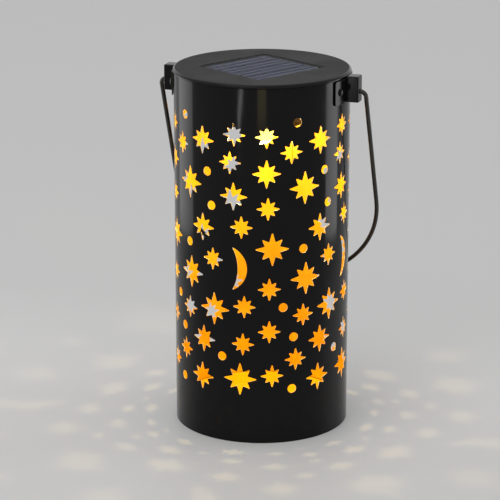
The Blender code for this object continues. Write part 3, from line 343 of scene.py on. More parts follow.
def flat_sheet(outline, holes, grid, edge):
    """Triangles of a flat sheet with holes, and what its rims need.

    The outline runs anticlockwise and the holes clockwise, so that the sheet is on their left. Each is moved
    into the sheet by the edge's width, and joined with the grid's points by constrained triangles, without
    those outside the outline or in a hole.
    """
    loops = [outline if signed_area(outline) > 0 else outline[::-1]]
    loops += [hole if signed_area(hole) < 0 else hole[::-1] for hole in holes]
    sides = [left_of(loop) for loop in loops]
    inset = [loop + side * edge for loop, side in zip(loops, sides)]
    counts = np.array([len(loop) for loop in loops])
    first = np.cumsum(counts) - counts
    index = np.arange(counts.sum())
    following = index + 1
    following[first + counts - 1] = first
    points = np.concatenate([*inset, grid])
    scaled = [Vector(point) for point in (points / MM).tolist()]
    found = delaunay_2d_cdt(scaled, np.stack([index, following], 1).tolist(), [], 0, 1e-7, False)
    if len(found[0]) != len(points):
        raise ValueError(f"the sheet's outlines touch: {len(points)} points became {len(found[0])}")
    triangles = np.array(found[2], int)
    middle = points[triangles].mean(1)
    keep = inside_loop(middle, inset[0])
    for loop in inset[1:]:
        keep[in_reach(middle, loop)] = False
    triangles = triangles[keep]
    a, b, c = points[triangles].transpose(1, 0, 2)
    wrong = flat_cross(b - a, c - a) < 0
    triangles[wrong] = triangles[wrong][:, ::-1]
    return points, triangles, np.concatenate(loops), np.concatenate(sides), following


def sheet_mesh(name, outline, holes, grid, thickness, edge, place, lined=False):
    """A closed sheet with rounded rims.

    The flat sheet is laid twice, at its outer and inner face. Round every rim two more rows of points, on the
    outline itself, stand one edge's width below the faces, and strips of quads join the four rows. Place puts
    flat points and a depth into space, with the directions along, up and out there. The exact shading
    directions are out on the faces, and away from the sheet on the rims. A lined sheet has a second
    material inside and a third on the walls of its holes.
    """
    flat, triangles, rim, left, following = flat_sheet(outline, holes, grid, edge)
    count, rims, area = len(flat), len(rim), len(triangles)
    points, normals = [], []
    for where, depth, away in (
        (flat, 0.0, 1), (flat, thickness, -1), (rim, edge, 0), (rim, thickness - edge, 0),
    ):
        spot, along, up, out = place(where, depth)
        points.append(spot)
        normals.append(out * away if away else -(along * left[:, :1] + up * left[:, 1:]))
    here = np.arange(rims)
    rows = (here, 2 * count + here, 2 * count + rims + here, count + here)
    strips = [np.stack([one[following], one, two, two[following]], 1) for one, two in zip(rows, rows[1:])]
    faces = [triangles, triangles[:, ::-1] + count, *strips]
    on_rim = np.arange(2 * (count + rims)) >= 2 * count
    mesh = fill_mesh(name, np.concatenate(points), faces, np.concatenate(normals), {"rim": on_rim})
    if lined:
        slots = np.repeat([0, 1, 0, 2, 1], [area, area, rims + len(outline), rims - len(outline), rims])
        mesh.polygons.foreach_set("material_index", slots.astype(np.int32))
    return mesh


def through_bmesh(mesh, change):
    """A mesh after a change to its editable form."""
    bm = bmesh.new()
    bm.from_mesh(mesh)
    change(bm)
    bm.to_mesh(mesh)
    bm.free()
    return mesh


def turn_out(bm):
    """Merges doubles of a closed mesh and makes its faces point outwards."""
    bmesh.ops.remove_doubles(bm, verts=bm.verts, dist=1e-7)
    bmesh.ops.recalc_face_normals(bm, faces=bm.faces)


def merge_middle(bm):
    """Makes each fan round the axis one flat face."""
    bmesh.ops.dissolve_verts(bm, verts=[point for point in bm.verts if point.co.xy.length < 1e-6])


def joined_rings(name, rings, closed=False):
    """A closed mesh from rings of points. Quads join two rings, and a fan joins a ring and a single point."""
    count = max(map(len, rings))
    first = np.cumsum([0, *map(len, rings)])
    rows = [start + np.arange(count) % len(ring) for start, ring in zip(first, rings)]
    faces = []
    for upper, lower in zip(rows, rows[1:] + (rows[:1] if closed else [])):
        corners = [upper, lower] + [np.roll(row, -1) for row in (lower, upper) if row[0] != row[1]]
        if len(corners) > 2:
            faces.append(np.stack(corners, 1))
    return through_bmesh(fill_mesh(name, np.concatenate(rings), faces), turn_out)


def turned_mesh(profile, count, closed=False, place=None):
    """A profile of (radius, height) points turned about Z. A closed profile makes a ring.

    The material is on the profile's right, going from the top's middle outwards and down. A point at radius 0
    stays one point.
    """
    rings = []
    for radius, height in np.asarray(profile, float):
        ring = circle(radius, count) if radius > 1e-7 else np.zeros((1, 2))
        rings.append(np.pad(ring, ((0, 0), (0, 1)), constant_values=height))
    return joined_rings("turned", [place(ring) for ring in rings] if place else rings, closed)


def bowl(radius, centre, count):
    """Profile points of a ball's lower half, from its widest ring down to its lowest point on the axis."""
    angle = np.linspace(0, pi / 2, count)
    rows = np.stack([radius * np.cos(angle), centre - radius * np.sin(angle), 0 * angle], 1)
    rows[-1, 0] = 0
    return rows.tolist()


def carried_wire(path, radius, sides, across, round_end):
    """A round wire carried along a path that lies in one plane.

    The section at each point is the centre plus radius times cos of the angle along the plane's normal plus
    sin along the path's own. The ends close with rings that shrink on a quarter circle, then a point.
    """
    ahead = unit(np.gradient(path, axis=0))
    normal = unit(np.cross(across, ahead))
    steps = between(0, pi / 2, 5)
    shrink = radius - round_end * (1 - np.cos(steps))
    shift = round_end * np.sin(steps)[:, None]
    sizes = np.concatenate([shrink[::-1], np.full(len(path), radius), shrink])[:, None, None]
    path = np.concatenate([path[0] - ahead[0] * shift[::-1], path, path[-1] + ahead[-1] * shift])
    normal = np.pad(normal, ((len(steps), len(steps)), (0, 0)), "edge")[:, None, :]
    around = circle(1.0, sides)
    section = across * around[None, :, :1] + normal * around[None, :, 1:]
    return joined_rings("wire", [path[:1], *(path[:, None, :] + section * sizes), path[-1:]])


def modified(mesh, *modifiers):
    """A mesh after some modifiers, each a kind and its settings."""
    holder = place_object("holder", mesh)
    for kind, settings in modifiers:
        modifier = holder.modifiers.new("step", kind)
        for key, value in settings.items():
            setattr(modifier, key, value)
    bpy.context.view_layer.update()
    graph = bpy.context.evaluated_depsgraph_get()
    result = bpy.data.meshes.new_from_object(holder.evaluated_get(graph))
    bpy.data.objects.remove(holder, do_unlink=True)
    return result


def combined(mesh, *steps):
    """A mesh after Boolean steps, each a mesh to join on or, after a minus sign, to cut away."""
    helpers = [place_object("helper", tool) for sign, tool in steps]
    kinds = {"+": "UNION", "-": "DIFFERENCE"}
    result = modified(mesh, *(
        ("BOOLEAN", {"operation": kinds[sign], "object": helper, "solver": "EXACT"})
        for (sign, tool), helper in zip(steps, helpers)
    ))
    for helper in helpers:
        bpy.data.objects.remove(helper, do_unlink=True)
    result.materials.clear()
    return result


def softened(mesh, width):
    """A mesh with its edges rounded by a narrow bevel, and flats that stay flat in the shading."""
    mesh = smooth(modified(mesh, ("BEVEL", {
        "width": width, "segments": 2, "limit_method": "ANGLE", "angle_limit": radians(42),
        "use_clamp_overlap": True,
    })))
    mesh.set_sharp_from_angle(angle=radians(60))
    return modified(mesh, ("WEIGHTED_NORMAL", {"keep_sharp": True, "weight": 50}))


def plates(loops, low, high):
    """Plain closed plates over some outlines, in one mesh, for cutting or joining."""
    points, faces, first = [], [], 0
    for loop in loops:
        loop = loop if signed_area(loop) > 0 else loop[::-1]
        count = len(loop)
        points += [np.column_stack([loop, np.full(count, height)]) for height in (high, low)]
        here = first + np.arange(count)
        ahead = np.roll(here, -1)
        faces += [here.tolist(), (here[::-1] + count).tolist()]
        faces += np.stack([here, here + count, ahead + count, ahead], 1).tolist()
        first += 2 * count
    mesh = bpy.data.meshes.new("plates")
    mesh.from_pydata(np.concatenate(points).tolist(), [], faces)
    return smooth(mesh)


def drums(radius, low, high, places=((0.0, 0.0),), count=32):
    """Upright cylinders in one mesh."""
    return plates([circle(radius, count) + place for place in places], low, high)


def turned_flat(points, angle):
    """Flat points turned about the middle."""
    cos, sin = math.cos(angle), math.sin(angle)
    return points @ np.array([[cos, sin], [-sin, cos]])


def square(half_x, half_y, corner=0.0, steps=5):
    """An upright rectangle's outline with round corners."""
    corners = [(half_x, half_y), (-half_x, half_y), (-half_x, -half_y), (half_x, -half_y)]
    return round_corners(corners, corner, steps).reshape(-1, 2) if corner else np.array(corners, float)


def flat_place(height):
    """Places a flat sheet level, its outer face up at a height."""
    def place(where, depth):
        ones = np.ones((len(where), 1))
        return np.column_stack([where, ones * (height - depth)]), *(ones * axis for axis in np.eye(3))
    return place


def rounded_block(low, high, radius, steps=5):
    """A closed box with rounded edges.

    Every point of a cube's grid is held inside the box that is smaller by the radius all round, and then
    pushed out from there by the radius, along the line from the held point to the grid's own point.
    """
    low, high = np.array(low, float), np.array(high, float)

    def cube(bm):
        bmesh.ops.create_cube(bm, size=2)
        bmesh.ops.subdivide_edges(bm, edges=bm.edges, cuts=2 * steps - 1, use_grid_fill=True)

    mesh = through_bmesh(bpy.data.meshes.new("block"), cube)
    points = triples(mesh.vertices, "co")
    held = np.sign(np.round(points, 4)) * ((high - low) / 2 - radius)
    on_face = np.abs(np.abs(points) - 1) < 1e-4
    direction = unit(np.where(on_face, points, np.tan(points * pi / 4)))
    return smooth(move_points(mesh, (low + high) / 2 + held + direction * radius))


# Finishes

DUST_COLOUR = (0.42, 0.4, 0.37)
BARE_EDGE = (0.3, 0.29, 0.27)
GOLD_PAINT = ((0.3, (0.62, 0.34, 0.03)), (0.7, (0.8, 0.5, 0.06)))


def feed(made, inputs):
    """Gives a node its inputs, each a value or another node's socket."""
    for key, value in inputs.items():
        socket = made.inputs[key]
        if isinstance(value, bpy.types.NodeSocket):
            made.id_data.links.new(value, socket)
        else:
            socket.default_value = (*value, 1) if socket.type == "RGBA" and len(value) == 3 else value


def node(tree, kind, inputs=None, **settings):
    """Adds a shader node with its settings and inputs, and returns its outputs."""
    made = tree.nodes.new("ShaderNode" + kind)
    for key, value in settings.items():
        setattr(made, key, value)
    feed(made, inputs or {})
    return made.outputs


def noise(at, scale, detail, **more):
    """Noise over a place."""
    return node(at.id_data, "TexNoise", {"Vector": at, "Scale": scale, "Detail": detail, **more})["Fac"]


def maths(operation, one, *others, clamp=False):
    """A number worked out from one socket and other sockets or numbers."""
    inputs = dict(enumerate((one, *others)))
    return node(one.id_data, "Math", inputs, operation=operation, use_clamp=clamp)[0]


def turned(at, **inputs):
    """A place or direction turned or stretched."""
    return node(at.id_data, "Mapping", {"Vector": at, **inputs})[0]


def part_of(vector, letter):
    """One of the three numbers of a place or direction."""
    return node(vector.id_data, "SeparateXYZ", {0: vector})[letter]


def ramp(value, *stops):
    """Colour or grey that changes with a value, through (position, colour) stops."""
    made = node(value.id_data, "ValToRGB", {"Fac": value})["Color"]
    elements = made.node.color_ramp.elements
    while len(elements) < len(stops):
        elements.new(1)
    for element, (position, colour) in zip(elements, stops):
        element.position = position
        element.color = (*colour, 1) if isinstance(colour, tuple) else (colour, colour, colour, 1)
    return made


def mix(share, one, two):
    """Two colours mixed by a share."""
    return node(share.id_data, "Mix", {0: share, 6: one, 7: two}, data_type="RGBA")[2]


def use(group, at, **inputs):
    """Places an effect group in a material with its own values."""
    return node(at.id_data, "Group", {"Vector": at, **inputs}, node_tree=group)[0]


def effect(name, output, work_out, **inputs):
    """A node group with a Vector and other named inputs, and the one output that work_out makes of them."""
    tree = bpy.data.node_groups.new(name, "ShaderNodeTree")
    tree.interface.new_socket(output, in_out="OUTPUT", socket_type="NodeSocketFloat")
    for key, value in {"Vector": None, **inputs}.items():
        kind = "Vector" if value is None else "Float"
        socket = tree.interface.new_socket(key, in_out="INPUT", socket_type="NodeSocket" + kind)
        if value is not None:
            socket.default_value = value
    start, end = tree.nodes.new("NodeGroupInput"), tree.nodes.new("NodeGroupOutput")
    tree.links.new(work_out(*start.outputs[:len(inputs) + 1]), end.inputs[0])
    return tree


def ripple(at, scale):
    """Sprayed paint's faint ripple: a broad and a fine noise added."""
    fine = noise(at, maths("MULTIPLY", scale, 3.1), 0.0)
    return maths("MULTIPLY_ADD", fine, 0.3, noise(at, scale, 1.0))


def smears(at, base, amount):
    """Roughness of a handled gloss surface: soft smears and a few fine rubs over a base value."""
    soft = ramp(noise(at, 26.0, 4.0, Distortion=0.6), (0.42, 0.0), (0.72, 1.0))
    rub = noise(turned(at, Scale=(900, 900, 60), Rotation=(0.3, 0.2, 0.0)), 1.0, 2.0)
    both = maths("MULTIPLY_ADD", ramp(rub, (0.6, 0.0), (0.75, 1.0)), 0.35, soft)
    return maths("MULTIPLY_ADD", both, amount, base)


def settled(at, facing, amount):
    """Mask of thin dust: it gathers on faces that look up, in patches."""
    level = node(at.id_data, "MapRange", {"Value": part_of(facing, "Z"), "From Min": 0.3, "From Max": 1.0,
                                          "To Min": 0.12, "To Max": 1.0})[0]
    patch = ramp(noise(at, 70.0, 6.0), (0.35, 0.15), (0.7, 1.0))
    speck = ramp(noise(at, 1500.0, 1.0), (0.45, 0.2), (0.68, 1.0))
    return maths("MULTIPLY", maths("MULTIPLY", maths("MULTIPLY", patch, speck), level), amount, clamp=True)


def rubbed(at, rim, amount):
    """Mask of paint rubbed thin along a sheet's rims: the rim's own mark, broken up by noise."""
    broken = ramp(noise(at, 420.0, 5.0), (0.44, 0.0), (0.58, 1.0))
    return maths("MULTIPLY", maths("MULTIPLY", broken, rim), amount, clamp=True)


def spark(at, scale):
    """Moulded plastic's fine spark texture: small cells with noise on them."""
    cells = node(at.id_data, "TexVoronoi", {"Vector": at, "Scale": scale}, feature="SMOOTH_F1")["Distance"]
    return maths("ADD", cells, noise(at, scale, 2.0))


RIPPLE = effect("sprayed_ripple", "Height", ripple, Scale=300.0)
HANDLING = effect("handling", "Roughness", smears, Base=0.15, Amount=0.1)
DUST = effect("settled_dust", "Mask", settled, Normal=None, Amount=0.1)
WEAR = effect("rim_wear", "Mask", rubbed, Rim=0.0, Amount=0.5)
GRAIN = effect("moulded_grain", "Height", spark, Scale=1500.0)


def finish(name, base, amount, relief=None, shade=None, **fixed):
    """A new material with handled roughness, and relief from an effect's scale, strength and distance.

    The fixed values go to its Principled shader, and shade gives more inputs from the place on the object.
    """
    material = bpy.data.materials.new(name)
    material.use_nodes = True
    at = node(material.node_tree, "TexCoord")["Object"]
    inputs = {key.replace("_", " "): value for key, value in fixed.items()}
    inputs["Roughness"] = use(HANDLING, at, Base=base, Amount=amount)
    if relief:
        group, scale, strength, distance = relief
        bump = {"Height": use(group, at, Scale=scale), "Strength": strength, "Distance": distance}
        inputs["Normal"] = node(at.id_data, "Bump", bump)[0]
    if shade:
        inputs |= shade(at)
    feed(material.node_tree.nodes["Principled BSDF"], inputs)
    return material


def coat(colour, dust, wear=0.0):
    """Shade of a plain coat: its colour, dust on top, and bare metal where the rims are rubbed."""
    def shade(at):
        mixed = mix(use(DUST, at, Normal=at.node.outputs["Normal"], Amount=dust), colour, DUST_COLOUR)
        if wear:
            rim = node(at.id_data, "Attribute", attribute_name="rim")["Fac"]
            mixed = mix(use(WEAR, at, Rim=rim, Amount=wear), mixed, BARE_EDGE)
        return {"Base Color": mixed}
    return shade


def plastic(name, colour, rough, scale, strength, dust=0.02, **fixed):
    """Moulded plastic with a fine grain."""
    return finish(name, rough, 0.12, (GRAIN, scale, strength, 0.0001), coat(colour, dust), **fixed)


def plated_metal(name, colour, rough):
    """Plated steel with dull spots."""
    stops = (0.35, tuple(part * 0.72 for part in colour)), (0.6, colour)
    return finish(name, rough, 0.2, None, lambda at: {"Base Color": ramp(noise(at, 900.0, 5.0), *stops)},
                  Metallic=1.0)


def lit_resin(name, colour, glow, strength, rough, **fixed):
    """Lit lamp resin or frosted plastic: its glow is strongest near the lamp's tip."""
    def shade(at):
        inputs = {"Value": part_of(at, "Z"), "From Min": GLOW_END, "From Max": CAP_TIP}
        near = node(at.id_data, "MapRange", inputs)[0]
        return {"Emission Color": ramp(near, (0.0, tuple(part * 0.25 for part in glow)), (0.6, glow))}
    return finish(name, rough, 0.1, None, shade, Base_Color=colour, Emission_Strength=strength, **fixed)


def gold_wall_with_painted_glow(at):
    """Shade of the tube's inner wall, with painted lamp light: its own emitted light follows the height on
    the wall.
    """
    height = part_of(turned(at, Rotation=(0.0, radians(16), 0.0)), "Z")
    glow = ramp(
        maths("MULTIPLY", height, 1 / HEIGHT),
        (0.0, (0.75, 0.3, 0.0)), (0.2, (0.86, 0.36, 0.0)), (0.38, (0.97, 0.48, 0.0)), (0.5, (1.0, 0.74, 0.0)),
        (0.64, (1.0, 0.84, 0.0)), (0.7, (0.8, 0.42, 0.0)), (0.78, (0.4, 0.15, 0.0)), (0.95, (0.1, 0.04, 0.0)),
    )
    patch = noise(at, 45.0, 3.0)
    inputs = {0: 1.0, 6: glow, 7: ramp(patch, (0.3, 0.82), (0.7, 1.0))}
    lit = node(at.id_data, "Mix", inputs, data_type="RGBA", blend_type="MULTIPLY")[2]
    return {"Emission Color": lit, "Base Color": ramp(patch, *GOLD_PAINT)}


def gold_pan_with_painted_light(at):
    """Shade of the pan's paint, with a painted pool of lamp light that it emits itself, brightest in its
    middle, where the lamp's beam lands.
    """
    flat = turned(at, Scale=(1.0, 1.0, 0.0))
    reach = node(at.id_data, "VectorMath", {0: flat}, operation="LENGTH")["Value"]
    glow = ramp(maths("MULTIPLY", reach, 1 / TUBE_RADIUS), (0.0, (1.0, 0.9, 0.02)), (0.45, (1.0, 0.76, 0.0)),
                (1.0, (0.8, 0.4, 0.0)))
    return {"Emission Color": glow, "Base Color": ramp(noise(at, 45.0, 3.0), *GOLD_PAINT)}


def thin_paint_with_painted_glow(at):
    """Shade of the cut-outs' walls: pale where the paint is thin, with a painted glow of the lamp inside that
    the walls emit themselves.
    """
    thin = noise(at, 500.0, 3.0)
    return {"Base Color": ramp(thin, (0.35, (0.5, 0.3, 0.08)), (0.6, (0.85, 0.7, 0.42))),
            "Emission Color": ramp(thin, (0.35, (0.7, 0.35, 0.05)), (0.6, (1.0, 0.75, 0.35)))}


def solar_lines(at):
    """Shade of the cells: crystal flakes in different blues, faint fingers and two bars on each strip.

    A line's mask is 1 where the place, taken modulo its pitch, is near the line's own, and fades beside it.
    """
    flat = turned(at, Rotation=(0, 0, -PANEL_TURN))
    flakes = node(at.id_data, "TexVoronoi", {"Vector": flat, "Scale": 260.0})["Color"]
    tone = node(at.id_data, "SeparateColor", {0: flakes})[0]
    colour = ramp(tone, (0.0, (0.006, 0.008, 0.028)), (1.0, (0.012, 0.018, 0.065)))
    finger, bar = (0.03, 0.035, 0.075), (0.2, 0.21, 0.23)
    for axis, pitch, place, width, line in (
        ("Y", 1.9 * MM, 0.5, 0.12, finger), ("X", CELL_PITCH, 0.25, 0.035, bar),
        ("X", CELL_PITCH, 0.68, 0.035, bar),
    ):
        phase = maths("MODULO", maths("ADD", part_of(flat, axis), CELLS_HALF + 10 * pitch), pitch)
        gap = maths("ABSOLUTE", maths("SUBTRACT", phase, place * pitch))
        near, far = width * pitch * 0.4, width * pitch
        limits = {"Value": gap, "From Min": near, "From Max": far, "To Min": 1.0, "To Max": 0.0}
        colour = mix(node(at.id_data, "MapRange", limits)[0], colour, line)
    return {"Base Color": colour}


def board_tracks(at):
    """Shade of the board: green solder mask with paler copper tracks under it."""
    tracks = node(at.id_data, "TexVoronoi", {"Vector": at, "Scale": 240.0}, distance="MANHATTAN")["Distance"]
    line = ramp(tracks, (0.42, 0.0), (0.46, 1.0))
    return {"Base Color": mix(line, (0.012, 0.12, 0.04), (0.03, 0.22, 0.08))}


def cell_sleeve(at):
    """Shade of the cell: a green shrink sleeve with bare metal at its ends."""
    end = maths("GREATER_THAN", maths("ABSOLUTE", part_of(at.node.outputs["Normal"], "X")), 0.8)
    green = ramp(noise(at, 150.0, 3.0), (0.3, (0.03, 0.2, 0.06)), (0.7, (0.05, 0.27, 0.09)))
    return {"Base Color": mix(end, green, (0.6, 0.6, 0.58)), "Metallic": end}


GLOSS_BLACK = finish("gloss_black_enamel", 0.09, 0.1, (RIPPLE, 150.0, 0.1, 0.00003),
                     coat((0.004, 0.004, 0.0045), 0.03, 0.3), Specular_IOR_Level=0.15)
SATIN_BLACK = finish("satin_black_enamel", 0.42, 0.1, (RIPPLE, 300.0, 0.1, 0.00002),
                     coat((0.006, 0.006, 0.007), 0.025), Specular_IOR_Level=0.05)
WIRE_BLACK = finish("dipped_black_wire", 0.26, 0.15, (RIPPLE, 500.0, 0.1, 0.00004),
                    coat((0.01, 0.009, 0.008), 0.03))
# Gold inner paint that also emits painted lamp light, graded by the height on the wall.
INSIDE_GOLD_PAINTED_GLOW = finish("gold_inside_paint_painted_glow", 0.4, 0.2, (RIPPLE, 450.0, 0.2, 0.0001), gold_wall_with_painted_glow, Metallic=0.75,
                     Emission_Strength=0.42)
# Walls of the cut-outs: thin pale paint, and a painted glow of the lamp inside.
CUT_EDGE_PAINTED_GLOW = finish("pale_cut_edge_painted_glow", 0.35, 0.1, None, thin_paint_with_painted_glow, Emission_Strength=0.3)
BLACK_PLASTIC = plastic("black_moulded_plastic", (0.007, 0.007, 0.0075), 0.42, 1400.0, 0.35, 0.01)
WHITE_PLASTIC = plastic("white_moulded_plastic", (0.78, 0.77, 0.72), 0.35, 2200.0, 0.15)
CHIP_BLACK = plastic("chip_moulding", (0.02, 0.02, 0.021), 0.35, 2600.0, 0.2)
SEAL_RUBBER = plastic("seal_rubber", (0.03, 0.03, 0.031), 0.62, 1800.0, 0.3, 0.08)
LEAD_RED = plastic("red_lead_insulation", (0.5, 0.03, 0.02), 0.38, 900.0, 0.1, Subsurface_Weight=0.05)
LEAD_BLACK = plastic("black_lead_insulation", (0.02, 0.02, 0.02), 0.4, 900.0, 0.1)
PANEL_BACK = plastic("panel_backing_sheet", (0.03, 0.035, 0.04), 0.3, 900.0, 0.15)
SCREW_STEEL = plated_metal("zinc_plated_steel", (0.66, 0.66, 0.64), 0.26)
CONTACT_STEEL = plated_metal("nickel_plated_steel", (0.7, 0.69, 0.65), 0.2)
SILICON = finish("solar_cell_silicon", 0.3, 0.08, None, solar_lines, Specular_IOR_Level=0.0)
WINDOW = finish("clear_panel_window", 0.08, 0.1, (RIPPLE, 160.0, 0.1, 0.00002), Transmission_Weight=1.0,
                IOR=1.03, Base_Color=(0.93, 0.95, 0.97))
BOARD = finish("green_board_laminate", 0.3, 0.1, None, board_tracks, Coat_Weight=0.3, Coat_Roughness=0.15)
CELL_SLEEVE = finish("cell_shrink_sleeve", 0.25, 0.1, None, cell_sleeve)
FROSTED_CAP = lit_resin("frosted_lamp_cap", (0.9, 0.84, 0.6), (1.0, 0.86, 0.15), 2.2, 0.45)
LAMP_RESIN = lit_resin("warm_lamp_resin", (1.0, 0.8, 0.35), (1.0, 0.75, 0.3), 4.0, 0.12,
                       Transmission_Weight=0.3)
# Gold pan paint that also emits a painted pool of lamp light, brightest in its middle.
PAN_GOLD_PAINTED_LIGHT = finish("gold_pan_paint_painted_light", 0.4, 0.2, None, gold_pan_with_painted_light, Metallic=0.5, Emission_Strength=0.7)


# Tube

def star_outline(size):
    """Eight rays, the diagonal ones shorter, with round tips and corners.

    The pointed outline reaches further than the star's size by what rounding the tips takes off again.
    """
    number = np.arange(16)
    long_ray = number % 4 == 0
    notch = number % 2 == 1
    radius = np.where(notch, STAR_NOTCH * size / 2, np.where(long_ray, 1.0, SHORT_RAY) * size / 2)
    radius = radius + np.where(notch, 0, np.where(long_ray, 2.1, 1.2) * RAY_ROUND)
    corners = radius[:, None] * spokes(pi / 2 + number * pi / 8)
    return round_corners(corners, np.where(notch, NOTCH_ROUND, RAY_ROUND), 3).reshape(-1, 2)


def arc_through_tips(bulge, count):
    """Points of the arc through both tips of the moon that stands out by the bulge, lower tip first."""
    half = MOON_HEIGHT / 2
    radius = (half * half + bulge * bulge) / (2 * bulge)
    reach = math.asin(half / radius)
    return (bulge - radius, 0.0) + radius * spokes(np.linspace(-reach, reach, count))


def moon_outline():
    """A crescent between two arcs that share their tips."""
    outer = arc_through_tips(MOON_BULGE, 25)
    inner = arc_through_tips(MOON_HOLLOW, 23)[-2:0:-1]
    radii = np.zeros(len(outer) + len(inner))
    radii[[0, len(outer) - 1]] = MOON_TIP
    return fillet(np.column_stack([np.concatenate([outer, inner]), radii]), True, 3)


def cut_out_places(places, size):
    """Flat places of all copies of some cut-outs, without those that would run into the seam's strip."""
    stretch = (HEIGHT - BLANK_TOP - BLANK_FOOT) / LAYOUT_HEIGHT
    half_sheet = pi * TUBE_RADIUS
    copies = np.arange(-3, 4) * PATTERN_PITCH
    places = np.asarray(places, float) * MM
    x = (places[:, :1] + copies[None, :]).ravel()
    y = np.repeat(BLANK_FOOT + places[:, 1] * stretch, len(copies))
    keep = np.abs(x) + size / 2 <= half_sheet - BLANK_SEAM / 2
    return np.stack([x[keep], y[keep]], 1)


def sheet_radius(x):
    """The rolled sheet's outer radius along its length: a smooth ramp steps in under its own first edge."""
    end = pi * TUBE_RADIUS - SEAM_LAP / 2 - SHEET_GAP
    share = np.clip((x - (end - SEAM_STEP)) / SEAM_STEP, 0, 1)
    drop = (TUBE_WALL + SHEET_GAP) * share * share * (3 - 2 * share)
    slope = (TUBE_WALL + SHEET_GAP) * 6 * share * (1 - share) / SEAM_STEP
    return TUBE_RADIUS - drop, slope


def wrapped(where, depth, start, radius, slope):
    """Flat points laid round the tube's axis: the length along the sheet is the angle times its radius.

    Where the radius falls along the sheet, the directions along and out lean by its slope.
    """
    angle = start + where[:, 0] / TUBE_RADIUS
    zero = np.zeros(len(where))
    outward = np.stack([np.cos(angle), np.sin(angle), zero], 1)
    along = np.stack([-np.sin(angle), np.cos(angle), zero], 1)
    slope = slope[:, None]
    points = outward * (radius - depth)[:, None]
    points[:, 2] = where[:, 1]
    up = np.tile([0.0, 0.0, 1.0], (len(where), 1))
    return points, unit(along - outward * slope), up, unit(outward + along * slope)


def rolled_place(where, depth):
    """Rolls flat points into the tube."""
    return wrapped(where, depth, 1.5 * pi, *sheet_radius(where[:, 0]))


def ring_place(radius):
    """Rolls flat points round the tube at a radius."""
    return lambda where, depth: wrapped(where, depth, 0.0, np.full(len(where), radius), np.zeros(len(where)))


def clear_of(grid, outline, holes, margin):
    """The grid's points that keep a margin from the outline and all holes, and are in no hole."""
    keep = np.ones(len(grid), bool)
    for loop in holes:
        keep[in_reach(grid, loop)] = False
    for loop in [outline, *holes]:
        for run in np.array_split(loop, max(1, len(loop) // 40)):
            reach = np.ptp(run, axis=0) / 2 + margin
            near = np.nonzero((np.abs(grid - (run.max(0) + run.min(0)) / 2) < reach).all(1) & keep)[0]
            gap = np.linalg.norm(grid[near][:, None, :] - run[None, :, :], axis=2)
            keep[near] &= gap.min(1, initial=1.0) > margin
    return grid[keep]


def make_tube():
    """The rolled, perforated sheet. The step beside its seam has columns of points of its own."""
    half = pi * TUBE_RADIUS
    first, last = -half - SEAM_LAP / 2, half + SEAM_LAP / 2
    step_end = half - SEAM_LAP / 2 - SHEET_GAP
    notch = step_end - SEAM_STEP / 2
    corners = np.array([
        (first, 0), (notch, 0), (notch, TUCK_LOW), (step_end, TUCK_LOW), (last, TUCK_LOW), (last, TUCK_HIGH),
        (step_end, TUCK_HIGH), (notch, TUCK_HIGH), (notch, TUBE_TOP), (first, TUBE_TOP),
    ])
    outline = even_steps(corners, 1.6 * MM)
    holes = []
    for shape, places, size in (
        (star_outline(SMALL_STAR), SMALL_STAR_PLACES, SMALL_STAR),
        (star_outline(LARGE_STAR), LARGE_STAR_PLACES, LARGE_STAR),
        (star_outline(GRAND_STAR), GRAND_STAR_PLACES, GRAND_STAR),
        (circle(DOT / 2, 28), DOT_PLACES, DOT),
        (moon_outline(), MOON_PLACES, 2 * MOON_BULGE),
    ):
        holes += [even_steps(shape, 0.9 * MM) + place for place in cut_out_places(places, size)]
    for side in (-1, 1):
        for step in (-1, 1):
            x = side * TUBE_RADIUS * pi / 2 + step * RIVET_ANGLE * TUBE_RADIUS
            holes.append(circle(RIVET_HOLE, 20) + (x, RIVET_HEIGHT))
    columns, rows = between(first, last, 240), between(0, TUBE_TOP, 90)
    grid = grid_points(columns, rows).reshape(len(rows), -1, 2)
    grid[1::2, :, 0] += (columns[1] - columns[0]) / 2
    grid = grid.reshape(-1, 2)
    grid = grid[np.abs(grid[:, 0] - notch) > SEAM_STEP / 2 + 0.6 * MM]
    grid = clear_of(grid[inside_loop(grid, corners)], outline, holes, 0.7 * MM)
    columns = np.linspace(step_end - SEAM_STEP, step_end, 5)
    step_grid = grid_points(between(0, TUBE_TOP, 170), columns)[:, ::-1]
    step_grid = clear_of(step_grid[inside_loop(step_grid, corners)], outline, [], 0.3 * MM)
    grid = np.concatenate([grid, step_grid])
    # The sheet's inside and its holes' walls carry painted lamp light in their materials.
    mesh = sheet_mesh("tube", outline, holes, grid, TUBE_WALL, 0.12 * MM, rolled_place, True)
    add_piece("rolled_tube", "perforated_tube", mesh, "lantern_body", "tube_enamel", GLOSS_BLACK, INSIDE_GOLD_PAINTED_GLOW,
              CUT_EDGE_PAINTED_GLOW)


# Brackets, rivets and bail

